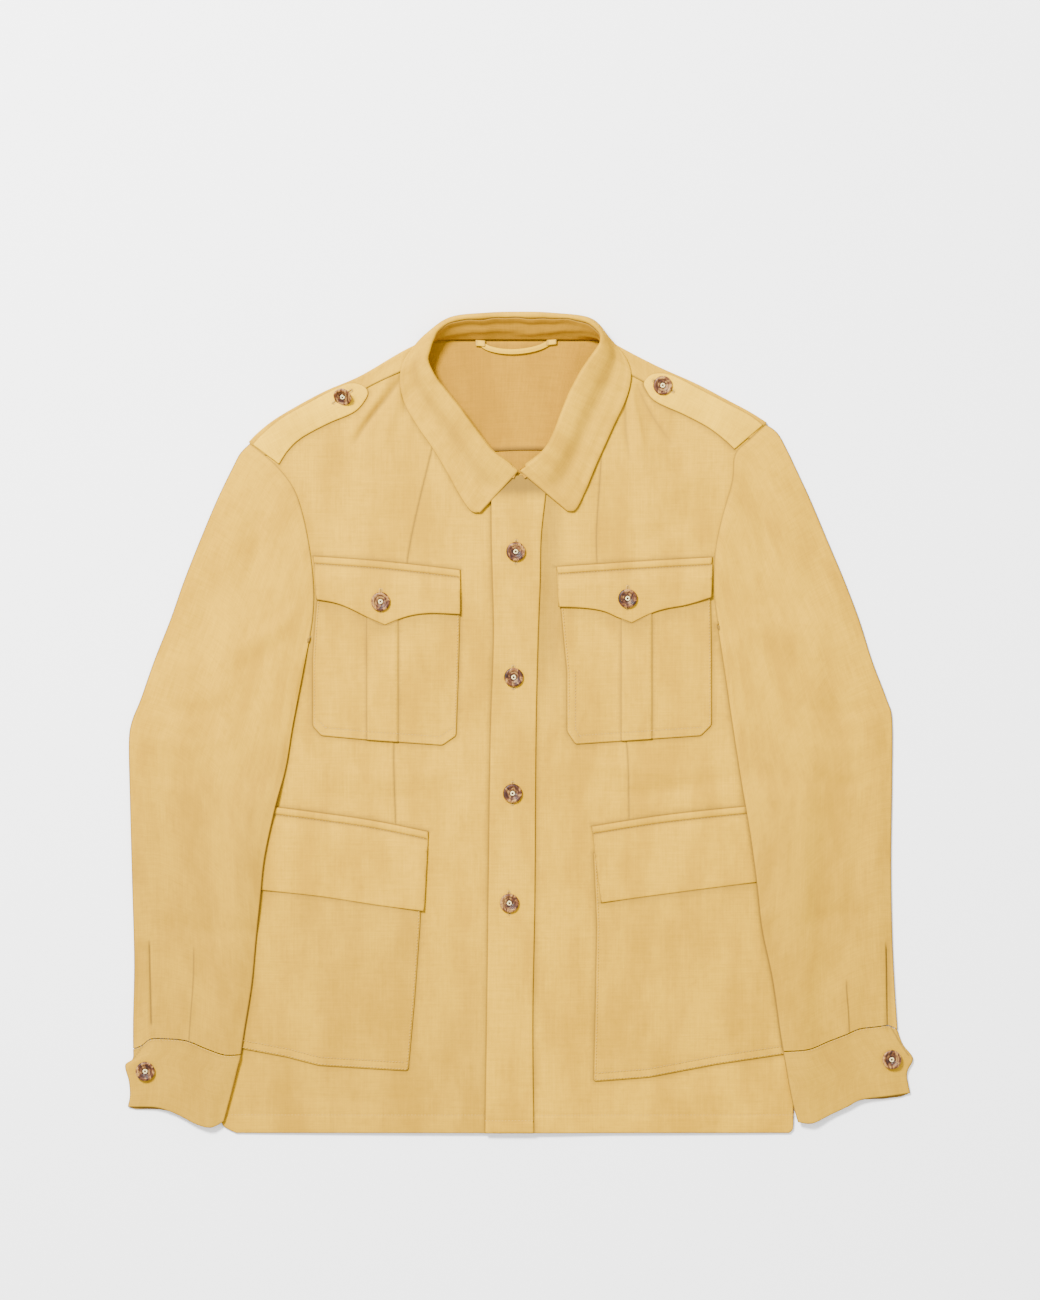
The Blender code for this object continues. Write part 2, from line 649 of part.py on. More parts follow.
def build_button(name, x, y, top):
    """A turned button with a raised rim, just clear of the cloth under it."""
    ring = [(x + BUTTON_RADIUS * cos(radians(a)), y + BUTTON_RADIUS * sin(radians(a)))
            for a in range(0, 360, 30)]
    seat = max(top(px, py) for px, py in ring + [(x, y)]) + GAP
    bm = bmesh.new()
    verts = [bm.verts.new((part * BUTTON_RADIUS, 0, height)) for part, height in BUTTON_PROFILE]
    for a, b in zip(verts, verts[1:]):
        bm.edges.new((a, b))
    made = new_object(name, bm, BUTTON_COLOUR, 0.3)
    made.location = (x * MM, y * MM, seat * MM)
    turn = made.modifiers.new("Turn", "SCREW")
    turn.steps = turn.render_steps = BUTTON_SIDES
    turn.use_merge_vertices = True
    turn.merge_threshold = 0.00001
    return made


def build_buttons():
    for number, (x, y) in enumerate(FRONT_BUTTONS, 1):
        build_button(f"button_front_{number}", x, y, placket_top)
    for side in (RIGHT, LEFT):
        name = SIDE_NAMES[side]
        chest_x, chest_y = CHEST_BUTTON[side]
        top_line = CHEST_FLAP_TOP[side]
        build_button("button_chest_" + name, side * chest_x, chest_y,
                     lambda x, y: flap_top(side, top_line, CLOTH + PLEAT + GAP, x, y))
        shoulder_x, shoulder_y = SHOULDER_BUTTON[side]
        build_button("button_shoulder_" + name, side * shoulder_x, shoulder_y,
                     lambda x, y: front_top(side, x, y) + GAP + DOUBLE)
        cuff_x, cuff_y = CUFF_BUTTON[side]
        build_button("button_cuff_" + name, side * cuff_x, cuff_y,
                     lambda x, y: sleeve_under(side, x, y) + CUFF_EDGE + CUFF_MIDDLE)


for old in list(bpy.data.objects):
    bpy.data.objects.remove(old)
JACKET = collection_for("safari_jacket")
build_back()
build_yoke()
build_placket()
build_stand()
build_leaf()
build_hanger()
for wearer_side in (RIGHT, LEFT):
    build_front(wearer_side)
    build_sleeve(wearer_side)
    build_cuff(wearer_side)
    build_epaulette(wearer_side)
    build_chest(wearer_side)
    build_lower(wearer_side)
build_buttons()
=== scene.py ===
"""The looks of the safari jacket: fine cloth on each solid's form, with its creases, seams, stitches,
buttonholes and horn buttons, and the floor, light and camera.

Sizes are millimetres in the jacket's own frame, as in the part's source: +X is the wearer's left,
+Y runs to the collar and +Z is up. "out" is a distance from the middle towards a side and "up" is
a place along the jacket's length.
"""

from math import cos, pi, radians, sin

import bmesh
import bpy
import numpy as np
from mathutils import Matrix, Vector
from mathutils.geometry import delaunay_2d_cdt
from mathutils.kdtree import KDTree


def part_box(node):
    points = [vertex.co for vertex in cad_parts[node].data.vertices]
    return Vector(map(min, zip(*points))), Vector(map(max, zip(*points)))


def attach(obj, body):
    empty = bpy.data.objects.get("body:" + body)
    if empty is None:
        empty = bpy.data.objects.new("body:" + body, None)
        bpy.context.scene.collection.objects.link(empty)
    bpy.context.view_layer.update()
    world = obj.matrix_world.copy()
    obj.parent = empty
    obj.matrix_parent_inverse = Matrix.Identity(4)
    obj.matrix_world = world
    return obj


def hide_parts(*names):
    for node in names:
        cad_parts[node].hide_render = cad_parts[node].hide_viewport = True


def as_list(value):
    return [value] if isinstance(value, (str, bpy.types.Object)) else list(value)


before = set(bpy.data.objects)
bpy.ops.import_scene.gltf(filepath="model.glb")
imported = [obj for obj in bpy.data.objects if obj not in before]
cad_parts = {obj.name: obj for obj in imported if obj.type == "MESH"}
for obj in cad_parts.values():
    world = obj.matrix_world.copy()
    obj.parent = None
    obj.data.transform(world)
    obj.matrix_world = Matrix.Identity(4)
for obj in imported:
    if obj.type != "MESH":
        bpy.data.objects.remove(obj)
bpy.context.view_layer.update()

MM = 0.001
RIGHT, LEFT = -1, 1
SIDE_NAMES = {RIGHT: "right", LEFT: "left"}

# Single and double cloth, the gap between pieces and the step at a seam
CLOTH = 1.2
DOUBLE = 1.6
GAP = 0.3
SEAM = 0.5
# The air between back and front: how far out it reaches, its height in the middle, and how much more of it
# there is at the shoulders, which comes in between two places up the jacket
HALF_WIDTH = 262.0
BELLY = 1.9
SHOULDER_ROOM = 0.7
SHOULDER_RISE = (150.0, 230.0)
# Where the left front comes down beside its lap, and where what lies on a front climbs on to the placket
LAP_START, LAP_END = 20.0, 92.0
PLACKET_EASE = {RIGHT: (41.0, 27.5), LEFT: (39.0, 27.0)}
# How far the right front goes under the left one, and the ends of the body
UNDERLAP = 12.0
HEM = -385.5
BACK_NECK = 359.0
NECK_POINT = 229.0
# The chest pocket's pleat: its height and the width of its step
PLEAT = 1.2
PLEAT_STEP = 0.8
# Below its top edge, where a flap climbs from the front on to the pocket
FLAP_RISE = (6.0, 22.0)
# A pressed tube: thickness beside its folded edges, more in its middle, thickness at the fold and its reach
SLEEVE_EDGE = 4.6
SLEEVE_MIDDLE = 1.6
FOLD_THICK = 3.2
FOLD = 2.4
# How much thicker a cuff is than a sleeve
CUFF_RISE = 0.45
# How far the front goes under the sleeve's head
UNDER_SLEEVE = 3.0

# Where a sleeve climbs on to the body, as pairs: still down, fully up
STEP_OUT = (42.0, 9.0)
STEP_UP = (118.0, 84.0)
POCKET_OUT = (290.0, 264.0)
POCKET_UP = (-48.0, -74.0)
FLAP_UP = (-200.0, -176.0)

# Lines of the cut, columns: out, up
SHOULDER = {
    RIGHT: [(253, 263), (243, 273), (224, 287), (184, 309), (149, 324), (111, 346), (89, 357)],
    LEFT: [(232, 281), (216, 291), (195, 302), (166, 317), (132, 332), (104, 346), (84, 357)],
}
FORWARD_SEAM = {
    RIGHT: [(239, 252), (193, 284), (143, 316), (96, 337.5)],
    LEFT: [(217, 267), (170, 296), (118, 321), (89, 337)],
}
ARMHOLE_FRONT = {
    RIGHT: [(239, 252), (226, 240), (212, 221), (203, 195), (196, 158), (193, 125), (194, 99), (197, 80)],
    LEFT: [(217, 267), (203, 253), (200, 227), (190, 191), (184, 160), (183, 125), (185, 105), (187, 92)],
}
ARMHOLE_BACK_TOP = {
    RIGHT: [(253, 263), (245, 235), (240, 205)],
    LEFT: [(232, 281), (225, 250), (222, 215)],
}
ARMHOLE_BACK = {
    RIGHT: [(240, 205), (238, 160), (243, 105), (262, 52)],
    LEFT: [(222, 215), (224, 170), (236, 110), (264, 64)],
}
ARMHOLE_LOWER = {
    RIGHT: [(262, 52), (223, 60), (197, 80)],
    LEFT: [(264, 64), (217, 71), (187, 92)],
}
BODY_SIDE = {
    RIGHT: [(262, 52), (259, -35), (257, -119), (257, -195), (260, -260), (266, -307), (273, -340),
            (280, -370)],
    LEFT: [(264, 64), (259, -25), (255, -119), (253, -195), (254, -260), (256, -312), (258, -352),
           (258, -376)],
}
HEM_CORNER = {
    RIGHT: [(280, -370), (278, -379), (266, HEM)],
    LEFT: [(258, -376), (257.5, -382), (254, HEM)],
}
BACK_SEAM = [(0, 256), (60, 253), (120, 241), (180, 225), (222, 215)]
SLEEVE_OUTER = {
    RIGHT: [(253, 263), (262, 254), (268, 243), (284, 210), (300, 172), (315, 134), (328, 97), (343, 59),
            (356, 22), (364, 2), (367, -18), (366, -72), (364, -148), (362, -223), (363, -279), (363, -306)],
    LEFT: [(232, 281), (243, 273), (252, 257), (262, 236), (274, 210), (290, 172), (306, 134), (320, 97),
           (332, 59), (346, 22), (351, 3), (351, -54), (350, -129), (351, -195), (353, -242), (356, -288)],
}
SLEEVE_INNER = {
    RIGHT: [(197, 80), (205, 37), (213, -5), (219, -42), (229, -80), (239, -127), (243, -166), (247, -204),
            (251, -246), (258, -290), (261, -311)],
    LEFT: [(187, 92), (191, 64), (196, 30), (202, -11), (210, -63), (217, -105), (223, -149), (228, -193),
           (238, -241), (245, -290), (248, -308)],
}
CUFF_SEAM = {
    RIGHT: [(363, -306), (355, -303), (347, -297), (337, -296), (313, -298), (295, -305), (277, -311),
            (261, -311)],
    LEFT: [(356, -288), (347, -284), (336, -285), (320, -287), (308, -292), (290, -299), (272, -306),
           (248, -308)],
}
CUFF_OUTER = {
    RIGHT: [(363, -307), (363.5, -316), (370.5, -322), (367, -337), (366, -350), (368, -361)],
    LEFT: [(356, -289), (361, -302), (370.5, -315), (366, -326), (365, -333), (368, -348)],
}
CUFF_INNER = {
    RIGHT: [(261, -312), (269, -344), (277, -374)],
    LEFT: [(248, -309), (256, -353), (262, -375)],
}
CUFF_BOTTOM = {
    RIGHT: [(368, -361), (343, -361), (328, -365), (317, -370), (303, -377), (289, -380), (277, -374)],
    LEFT: [(368, -348), (344, -351), (322, -354), (308, -361), (293, -368), (276, -376), (262, -375)],
}

# Collar stations from the front edge to the middle of the back, columns:
# neck seam out and up, roll line out, up and height, leaf edge out and up
COLLAR = {
    RIGHT: [
        (5, 231, 0.4, 238, 9.5, 37, 198.5),
        (15, 237, 14, 247, 12.5, 45, 200),
        (28, 244, 27, 257, 15.5, 56, 216),
        (46, 260, 41, 275, 16, 67, 236),
        (62, 281, 54, 293, 16.5, 80, 258),
        (77, 301, 68, 310, 17, 94, 278),
        (88, 320, 80, 326, 18, 106, 299),
        (93, 338, 86, 340, 19, 111, 320),
        (88, 352, 84, 350, 20, 108, 338),
        (82, 357.5, 81, 359, 22, 97, 354),
        (70, 359, 75, 370, 24, 85, 366),
        (50, 359, 58, 378.5, 25.5, 64, 380),
        (25, 359, 28, 381, 26.5, 30, 383.4),
    ],
    LEFT: [
        (5, 231, 0.4, 238, 9.5, 46, 200),
        (16, 238, 13, 246.5, 12.5, 53, 201),
        (28, 246, 24, 256, 15.5, 62, 219),
        (40, 261, 32, 269, 16, 71, 241),
        (49, 279, 39, 287, 16.5, 80, 261),
        (58, 297, 46, 305, 17, 89, 281),
        (68, 315, 55, 323, 18, 98, 300),
        (78, 332, 64, 338, 19, 103, 315),
        (85, 346, 73, 350, 20, 104, 331),
        (80, 357, 77, 358, 22, 97, 346),
        (68, 359, 75, 368, 24, 84, 361),
        (48, 359, 60, 378, 25.5, 67, 379),
        (25, 359, 28, 381, 26.5, 30, 383.4),
    ],
}
COLLAR_BACK = (0, 359, 0, 381.5, 27, 0, 383.8)
# How many of the stations lie along a front's neck edge
NECK_ROWS = 7
# Where the seam between band and leaf lies, as a share of the way from the roll line to the foot, and the
# room between that seam and the band's top
SEAM_UNDER_ROLL = 0.06
STAND_GAP = 3 * GAP
# The leaf: the height of its edge behind, how far it runs out at least before it falls, and the widths
# between which it comes to turn over
LEAF_BEHIND = 2.2
LEAF_ROUND = 3.2
TURN_REACH = (7.0, 22.0)
# The band's foot: how far it lies outside the neck seam in front, its lift as a share of its wall, and how
# much further up the neck's edge lies behind
FOOT_INSET = 1.5
FOOT_LIFT = 0.85
NECK_RAISED = 2.4
COLLAR_COLUMNS = 200
# How long the grain is drawn along the collar, up its band and down its leaf
COLLAR_LENGTH = 520.0
STAND_HEIGHT = 24.0
LEAF_WIDTH = 72
NECK_MIDDLE = np.array([0.0, 300.0])
# Columns of the yoke over each shoulder and behind the neck, and how far it starts above the back's seam
SHOULDER_COLUMNS = 56
NECK_COLUMNS = 44
YOKE_LAP = np.array([0, 0.4])

# Pieces on the fronts, columns: up, inner out, outer out
PLACKET = [(224, -26, 26), (176, -26, 21), (134, -25, 20), (78, -24, 18), (-16, -27, 16), (-160, -29, 15),
           (-279, -30.5, 13), (HEM, -32, 14)]
FRONT_BUTTONS = [(-3, 161), (-5, 43), (-6, -66), (-9, -169)]

# Pockets, columns: out, up, clockwise from the top inner corner
CHEST_POCKET = {
    RIGHT: [(55, 118), (57, 44), (59, -12), (72, -21), (143, -16), (186, -12), (194, -3), (194, 60),
            (192, 90), (189, 128)],
    LEFT: [(38, 121), (42, 78), (45, 48), (45, -8), (53, -20), (98, -17), (171, -12), (181, -2), (181, 60),
           (180, 128)],
}
PLEAT_LINES = {RIGHT: (113.5, 143), LEFT: (96, 125)}
CHEST_FLAP_TOP = {RIGHT: [(55, 144), (126, 152), (193.5, 157)], LEFT: [(35, 147), (109, 152), (182, 156)]}
CHEST_FLAP_LOW = {
    RIGHT: [(55, 102), (84, 103), (105, 100), (126, 92), (142, 99), (160, 108), (174, 113), (190.5, 116)],
    LEFT: [(37, 109), (61, 108), (79, 105), (93, 99), (106, 94), (122, 102), (137, 107), (158, 111),
           (181, 118)],
}
FLAP_POINT = {RIGHT: 3, LEFT: 4}
CHEST_BUTTON = {RIGHT: (130, 114), LEFT: (102, 117)}
LOWER_POCKET = {
    RIGHT: [(90, -128), (93, -190), (98, -260), (104, -327), (188, -322), (219, -314), (262, -306),
            (255, -240), (250, -190), (246, -118)],
    LEFT: [(70, -122), (73, -189), (72, -252), (70, -337), (122, -333), (185, -321), (252, -311), (248, -270),
           (239, -210), (231, -112)],
}
LOWER_FLAP_TOP = {RIGHT: [(85, -102), (146, -90), (242, -77)], LEFT: [(68, -97), (139, -86), (224, -77)]}
LOWER_FLAP_LOW = {RIGHT: [(89, -177), (135, -171), (188, -163), (253, -156)],
                  LEFT: [(77, -169), (143, -160), (221, -150), (235, -148.5)]}
EPAULETTE = {
    RIGHT: [(250.5, 261.5), (242, 271), (224, 286), (196, 302), (173, 314), (159, 319.5), (148, 318),
            (142, 312), (144, 304), (155, 292), (180, 281), (204, 268), (217, 256), (225.5, 243)],
    LEFT: [(229.5, 280), (216, 290), (195, 301), (166, 316), (151, 324), (138, 328.5), (125, 328),
           (117.5, 321), (118.5, 314), (128, 302), (154, 290), (177, 278), (193, 266), (202.5, 257)],
}
SHOULDER_BUTTON = {RIGHT: (165, 307), LEFT: (135, 317)}

# Hanger loop, columns: across and up of the strap's middle line
HANGER = [(-37, 358), (-30, 353), (-19, 350), (-6, 349), (8, 350.3), (20, 353.4), (29, 358)]
HANGER_WIDTH = 5.4
# Tabs over the strap's ends, columns: left, right, low, high, how much the right end is higher
HANGER_TABS = {"right": (-41.0, -31.5, 354.3, 360.4, -0.8), "left": (26.0, 35.5, 354.8, 360.4, 1.0)}

BUTTON_RADIUS = 9.0
BUTTON_SIDES = 72
HOLE_OUT = 2.1
HOLE_RADIUS = 0.8
HOLE_SIDES = 16
# The edge of a button's well, as a part of the radius, and its height
WELL = 0.5
WELL_HEIGHT = 2.05
# From the well over the rim and round to the underside, columns: part of the radius, height
BUTTON_PROFILE = [(0.56, 2.1), (0.62, 2.35), (0.68, 2.85), (0.74, 3.12), (0.80, 3.2), (0.86, 3.15),
                  (0.92, 2.95), (0.97, 2.55), (1.0, 2.0), (0.99, 1.4), (0.95, 0.7), (0.9, 0.25), (0.84, 0.03),
                  (0.8, 0.0)]
# How far each button's holes are turned, in degrees
BUTTON_TURNS = {
    "button_front_1": 8, "button_front_2": -12, "button_front_3": 17, "button_front_4": 4,
    "button_chest_right": 32, "button_chest_left": -6, "button_shoulder_left": 22,
    "button_cuff_right": 40, "button_cuff_left": -18,
}
# How far the two strands between neighbouring holes bow outward
STRANDS = (-0.22, 0.26)
STRAND_RADIUS = 0.42
SHANK_RADIUS = 0.5
SHANK_HEIGHTS = (-1.4, -0.6, 0.3, 1.0)

# Seams that shape a front, columns: out, up
FRONT_DART = {
    RIGHT: [(75, 286), (81.8, 257.6), (104.3, 157), (112, 60), (117.5, -19.7), (116, -91), (114, -150)],
    LEFT: [(79, 262), (76, 228), (73.3, 153), (88, 70), (101, -17), (103.4, -86.5), (104, -150)],
}
HEM_DEPTH = 17.0
PLACKET_HEM = 12.0
BAND = 7.2
BAG_HEM = 8.0
EDGE_STITCH = 1.8

# Distances from a line at which a mesh has rows of points
BESIDE_FOLD = (-4.5, -3, -1.5, 0, 1.5, 3, 4.5)
BESIDE_SEAM = (-2.2, -0.9, 0, 0.9, 2.2)
BESIDE_STITCHES = (-0.9, 0, 0.9)
BESIDE_EDGE = (-1.4, 0, 1.4)
BESIDE_SLOT = (-1.1, -0.4, 0.4, 1.1)
ALONG_BAND = (2.2, 3.6, 5.0, 6.2, 6.8, 7.2, 7.7, 8.6)
# Depth and half width of what a row of stitches or a slot presses into the cloth
HEM_PRESS = (0.3, 1.1)
PLACKET_HEM_PRESS = (0.3, 1.0)
BAG_HEM_PRESS = (0.28, 1.0)
BAG_EDGE_PRESS = (0.16, 0.8)
SLOT_PRESS = (0.6, 0.9)
PLACKET_SLOT_PRESS = (0.7, 0.9)
# How wide a slot's shade is, and how far its stitches lie from it
SLOT_SHADE = 0.6
SLOT_HALF_WIDTH = 1.15
# Radius and drop of a turned edge
BAG_ROUND = (1.2, 0.8)
PLACKET_ROUND = (1.3, 0.9)
STRAP_ROUND = (1.8, 1.1)
# Creases of a front that are this narrow get rows of points beside them, and the troughs get a shade
SHARP = 5

# Soft creases pressed into the fronts, columns: height, half width, then the line's across and up
BODY_CREASES = [
    (-2.3, 2.8, [(-107, 330), (-113, 321), (-124, 306), (-140, 286), (-157, 260)]),
    (2.6, 5.0, [(-116, 333), (-125, 319), (-138, 299), (-162, 266)]),
    (-1.9, 2.6, [(-109, 324), (-108, 308), (-106, 288)]),
    (1.3, 5.0, [(-111, 316), (-116, 300), (-122, 280), (-130, 256)]),
    (2.4, 3.6, [(105, 320), (108, 300), (113, 278), (118, 252)]),
    (-2.1, 3.6, [(100, 314), (100, 296), (101, 270), (105, 244)]),
    (-2.1, 3.8, [(110, 320), (119, 300), (131, 280), (146, 260)]),
    (1.0, 7.0, [(120, 316), (134, 298), (150, 280), (168, 262)]),
    (-1.7, 6.5, [(29, 218), (29, 160), (28, 100), (26, 40), (25, -30)]),
    (0.9, 9.0, [(42, 190), (44, 130), (44, 60), (40, -20)]),
    (1.0, 9.0, [(-178, 236), (-150, 226), (-120, 222), (-96, 226)]),
    (-1.0, 8.0, [(-190, 196), (-160, 188), (-130, 190), (-100, 198)]),
    (1.0, 9.0, [(178, 240), (150, 222), (122, 208), (96, 204)]),
    (-1.1, 8.0, [(176, 204), (150, 186), (120, 176), (92, 178)]),
    (0.9, 7.0, [(-40, -30), (-80, -46), (-130, -52), (-200, -48)]),
    (-0.9, 7.0, [(-36, -56), (-90, -68), (-150, -70), (-206, -62)]),
    (1.1, 6.0, [(30, -32), (80, -40), (140, -46), (214, -34)]),
    (-1.3, 6.0, [(60, -60), (110, -66), (160, -60), (216, -50)]),
    (0.9, 6.0, [(90, -82), (140, -78), (190, -68), (222, -60)]),
    (0.8, 10.0, [(-40, 120), (-44, 60), (-42, 0), (-46, -60)]),
    (-0.7, 8.0, [(-58, -90), (-54, -180), (-58, -280), (-52, -370)]),
    (0.8, 9.0, [(52, -80), (48, -170), (50, -270), (46, -372)]),
    (-0.8, 7.0, [(-244, -352), (-200, -350), (-140, -356), (-80, -352)]),
    (0.7, 8.0, [(80, -352), (140, -348), (200, -350), (250, -340)]),
]
SLEEVE_CREASES = {
    RIGHT: [
        (-1.6, 7.0, [(352, 24), (325, 12), (296, 10), (262, 20)]),
        (1.4, 8.0, [(360, -8), (330, -20), (300, -20), (256, -8)]),
        (-1.3, 7.0, [(356, -42), (320, -52), (284, -46)]),
        (-1.4, 6.0, [(228, 222), (242, 196), (248, 160), (246, 118)]),
        (1.3, 9.0, [(250, 234), (266, 190), (274, 140), (268, 90)]),
        (-1.2, 5.0, [(202, 128), (218, 112), (236, 96), (262, 86)]),
        (1.2, 5.5, [(201, 114), (222, 94), (246, 76), (280, 64)]),
        (-1.3, 5.0, [(204, 98), (226, 74), (254, 54), (292, 42)]),
        (1.4, 10.0, [(236, -50), (258, -104), (266, -166), (264, -226)]),
        (-1.2, 8.0, [(340, -60), (336, -120), (326, -170), (322, -216)]),
        (1.1, 8.0, [(300, 150), (312, 110), (326, 70)]),
        (-1.0, 9.0, [(290, 190), (298, 150), (304, 108)]),
        (1.0, 6.0, [(285, -206), (284, -250), (280, -284)]),
        (-0.9, 5.0, [(326, -226), (327, -255), (325, -284)]),
        (-1.0, 7.0, [(252, -190), (284, -198), (320, -190), (352, -196)]),
    ],
    LEFT: [
        (-1.6, 7.0, [(338, 20), (310, 10), (284, 12), (250, 22)]),
        (1.4, 8.0, [(346, -10), (318, -24), (288, -24), (244, -12)]),
        (-1.3, 7.0, [(342, -46), (306, -58), (268, -48)]),
        (-1.4, 6.0, [(214, 232), (226, 200), (232, 160), (228, 118)]),
        (1.3, 9.0, [(236, 244), (250, 196), (260, 148), (254, 96)]),
        (-1.2, 5.0, [(192, 134), (208, 118), (228, 104), (252, 96)]),
        (1.2, 5.5, [(192, 120), (212, 100), (236, 84), (268, 74)]),
        (-1.3, 5.0, [(196, 104), (216, 82), (246, 60), (282, 50)]),
        (1.4, 10.0, [(222, -40), (244, -96), (254, -160), (256, -224)]),
        (-1.2, 8.0, [(330, -54), (322, -110), (314, -160), (306, -206)]),
        (1.1, 8.0, [(284, 160), (296, 120), (312, 78)]),
        (-1.0, 9.0, [(272, 196), (282, 156), (288, 116)]),
        (1.0, 6.0, [(272, -206), (272, -244), (268, -280)]),
        (-0.9, 5.0, [(324, -222), (325, -250), (324, -276)]),
        (-1.0, 7.0, [(240, -176), (272, -186), (306, -178), (342, -186)]),
    ],
}
SLEEVE_SLIT = {RIGHT: [(347.5, -207), (347.3, -214), (345.5, -284)],
               LEFT: [(344.4, -210), (345.4, -217), (346, -284)]}
SLEEVE_PLEAT = {RIGHT: [(305.5, -200), (306, -240), (309, -282), (310, -297)],
                LEFT: [(307.5, -236), (308, -255), (309.5, -270), (310, -290)]}
SLIT_STEP = 1.5
PLEAT_RISE = 0.7
CUFF_TAB = {RIGHT: [(349.7, -296), (355, -305.5), (362.3, -315.5)],
            LEFT: [(349, -284.5), (358, -300), (366, -312)]}
# Roughly where the slit and the pleat lie across a sleeve, and a tab's close rows across a cuff
SLIT_SHARE = 0.13
PLEAT_SHARE = 0.49
TAB_SHARE = 0.16
# How near a mark's line has to pass to count as crossing
MARK_REACH = 2.5
# How long the grain is drawn down a sleeve and a cuff
SLEEVE_LENGTH = 600
CUFF_LENGTH = 68

# Soft rises in the back, columns: height, half width, then the line's across and up
BACK_CREASES = [
    (0.8, 16.0, [(-180, 120), (-80, 60), (40, 30)]),
    (0.7, 18.0, [(-60, -80), (60, -150), (190, -190)]),
    (0.8, 15.0, [(160, 160), (90, 90), (20, -10)]),
    (0.6, 20.0, [(-200, -160), (-120, -240), (-20, -330)]),
]
PLACKET_CREASES = [
    (0.5, 8.0, [(-26, 20), (-10, 8), (10, 12), (22, 2)]),
    (0.4, 7.0, [(-30, -110), (-12, -120), (14, -112)]),
    (-0.4, 7.0, [(-26, 100), (-4, 92), (20, 98)]),
    (0.4, 9.0, [(-10, -220), (-6, -280), (-10, -350)]),
]
POCKET_CREASES = [
    (0.6, 8.0, [(120, -190), (150, -215), (190, -225), (235, -215)]),
    (-0.5, 8.0, [(110, -215), (150, -245), (200, -255), (240, -250)]),
    (0.5, 10.0, [(100, -290), (140, -270), (180, -285), (230, -275)]),
    (0.4, 7.0, [(160, -150), (164, -200), (158, -250)]),
]
# Along the neck and up the stand
STAND_CREASES = [
    (1.5, 3.2, [(150, 4), (195, 9), (240, 12), (285, 9)]),
    (-1.3, 2.8, [(165, 15), (215, 18), (262, 15)]),
    (1.6, 3.0, [(255, 5), (295, 10), (340, 16)]),
    (-1.4, 2.6, [(240, 19), (285, 17), (325, 20)]),
    (1.4, 3.0, [(330, 6), (370, 12), (410, 9)]),
    (-1.2, 2.6, [(350, 18), (395, 16), (430, 18)]),
]
LEAF_CREASES = [
    (0.5, 5.0, [(-52, 240), (-70, 228), (-84, 236)]),
    (-0.5, 5.0, [(-44, 222), (-58, 214), (-68, 222)]),
    (0.5, 5.0, [(50, 250), (66, 238), (82, 244)]),
    (-0.5, 5.0, [(44, 226), (60, 214), (72, 220)]),
]

# What each piece is cut from: width and length in metres, and its area
CUTS = {
    "back": ((0.545, 0.642), 0.316),
    "yoke": ((0.51, 0.19), 0.055),
    "front_right": ((0.292, 0.724), 0.1725),
    "front_left": ((0.296, 0.722), 0.179),
    "placket": ((0.052, 0.61), 0.0276),
    "collar_stand": ((0.50, 0.018), 0.008),
    "collar_fall": ((0.53, 0.07), 0.0232),
    "sleeve": ((0.33, 0.62), 0.13),
    "cuff": ((0.24, 0.07), 0.0146),
    "epaulette": ((0.036, 0.125), 0.00325),
    "chest_pocket": ((0.145, 0.15), 0.0196),
    "chest_flap": ((0.148, 0.065), 0.0071),
    "lower_pocket": ((0.182, 0.222), 0.0335),
    "lower_flap": ((0.168, 0.095), 0.0127),
    "hanger_loop": ((0.01, 0.078), 0.00035),
}

# Stitching and buttonholes, gathered while the pieces are made and sewn at the end
SEWN = {"hem": [], "pocket": [], "seam": []}
SATIN = []


# Lines and surfaces

def ramp(value, start, end):
    """0 before start and 1 after end, smooth between them."""
    part = np.clip((value - start) / (end - start), 0.0, 1.0)
    return part * part * (3 - 2 * part)


def bell(value, width):
    """1 at 0 and fading to 0 on both sides."""
    return np.exp(-(value / width) ** 2)


def place(side, points):
    """Pairs of out and up, as places in the frame."""
    return [(side * out, up) for out, up in points]


def mirrored(side, line):
    """place for a line that is an array already."""
    return line * (side, 1)


def share_steps(line, shares):
    """The points at shares of a line's length, from 0 to 1."""
    reach = np.concatenate([[0], np.cumsum(np.linalg.norm(np.diff(line, axis=0), axis=1))])
    return np.column_stack([np.interp(np.asarray(shares) * reach[-1], reach, column) for column in line.T])


def smooth(points, spacing=None, shares=None):
    """A smooth line through the points, in steps of a spacing or at shares of its length."""
    points = np.asarray(points, float)
    last = len(points) - 1
    t = np.linspace(0, 1, 16, endpoint=False)[:, None]
    spans = []
    for i in range(last):
        before, start, end, after = points[max(i - 1, 0)], points[i], points[i + 1], points[min(i + 2, last)]
        square = 2 * before - 5 * start + 4 * end - after
        cube = 3 * start - before - 3 * end + after
        spans.append(0.5 * (2 * start + (end - before) * t + square * t * t + cube * t ** 3))
    dense = np.vstack(spans + [points[-1:]])
    return share_steps(dense, equal_shares(dense, spacing) if shares is None else shares)


def equal_shares(line, spacing):
    """Shares of a line's length that give even steps of about this spacing."""
    total = np.linalg.norm(np.diff(line, axis=0), axis=1).sum()
    return np.linspace(0, 1, max(2, int(round(total / spacing)) + 1))


def cornered(points, spacing, radius=2.0):
    """Straight runs between the points, with each corner turned on a small curve."""
    points = np.asarray(points, float)
    line = [points[0]]
    for before, corner, after in zip(points, points[1:], points[2:]):
        start = corner + (before - corner) / np.linalg.norm(before - corner) * radius
        end = corner + (after - corner) / np.linalg.norm(after - corner) * radius
        line += [start, start / 4 + corner / 2 + end / 4, end]
    line.append(points[-1])
    line = np.array(line)
    return share_steps(line, equal_shares(line, spacing))


def ring_of(*runs):
    """One closed outline from runs that follow each other, each point once."""
    joined = []
    for run in runs:
        for point in np.asarray(run, float):
            if not joined or np.linalg.norm(point - joined[-1]) > 0.05:
                joined.append(point)
    if np.linalg.norm(joined[0] - joined[-1]) <= 0.05:
        joined.pop()
    return np.array(joined)


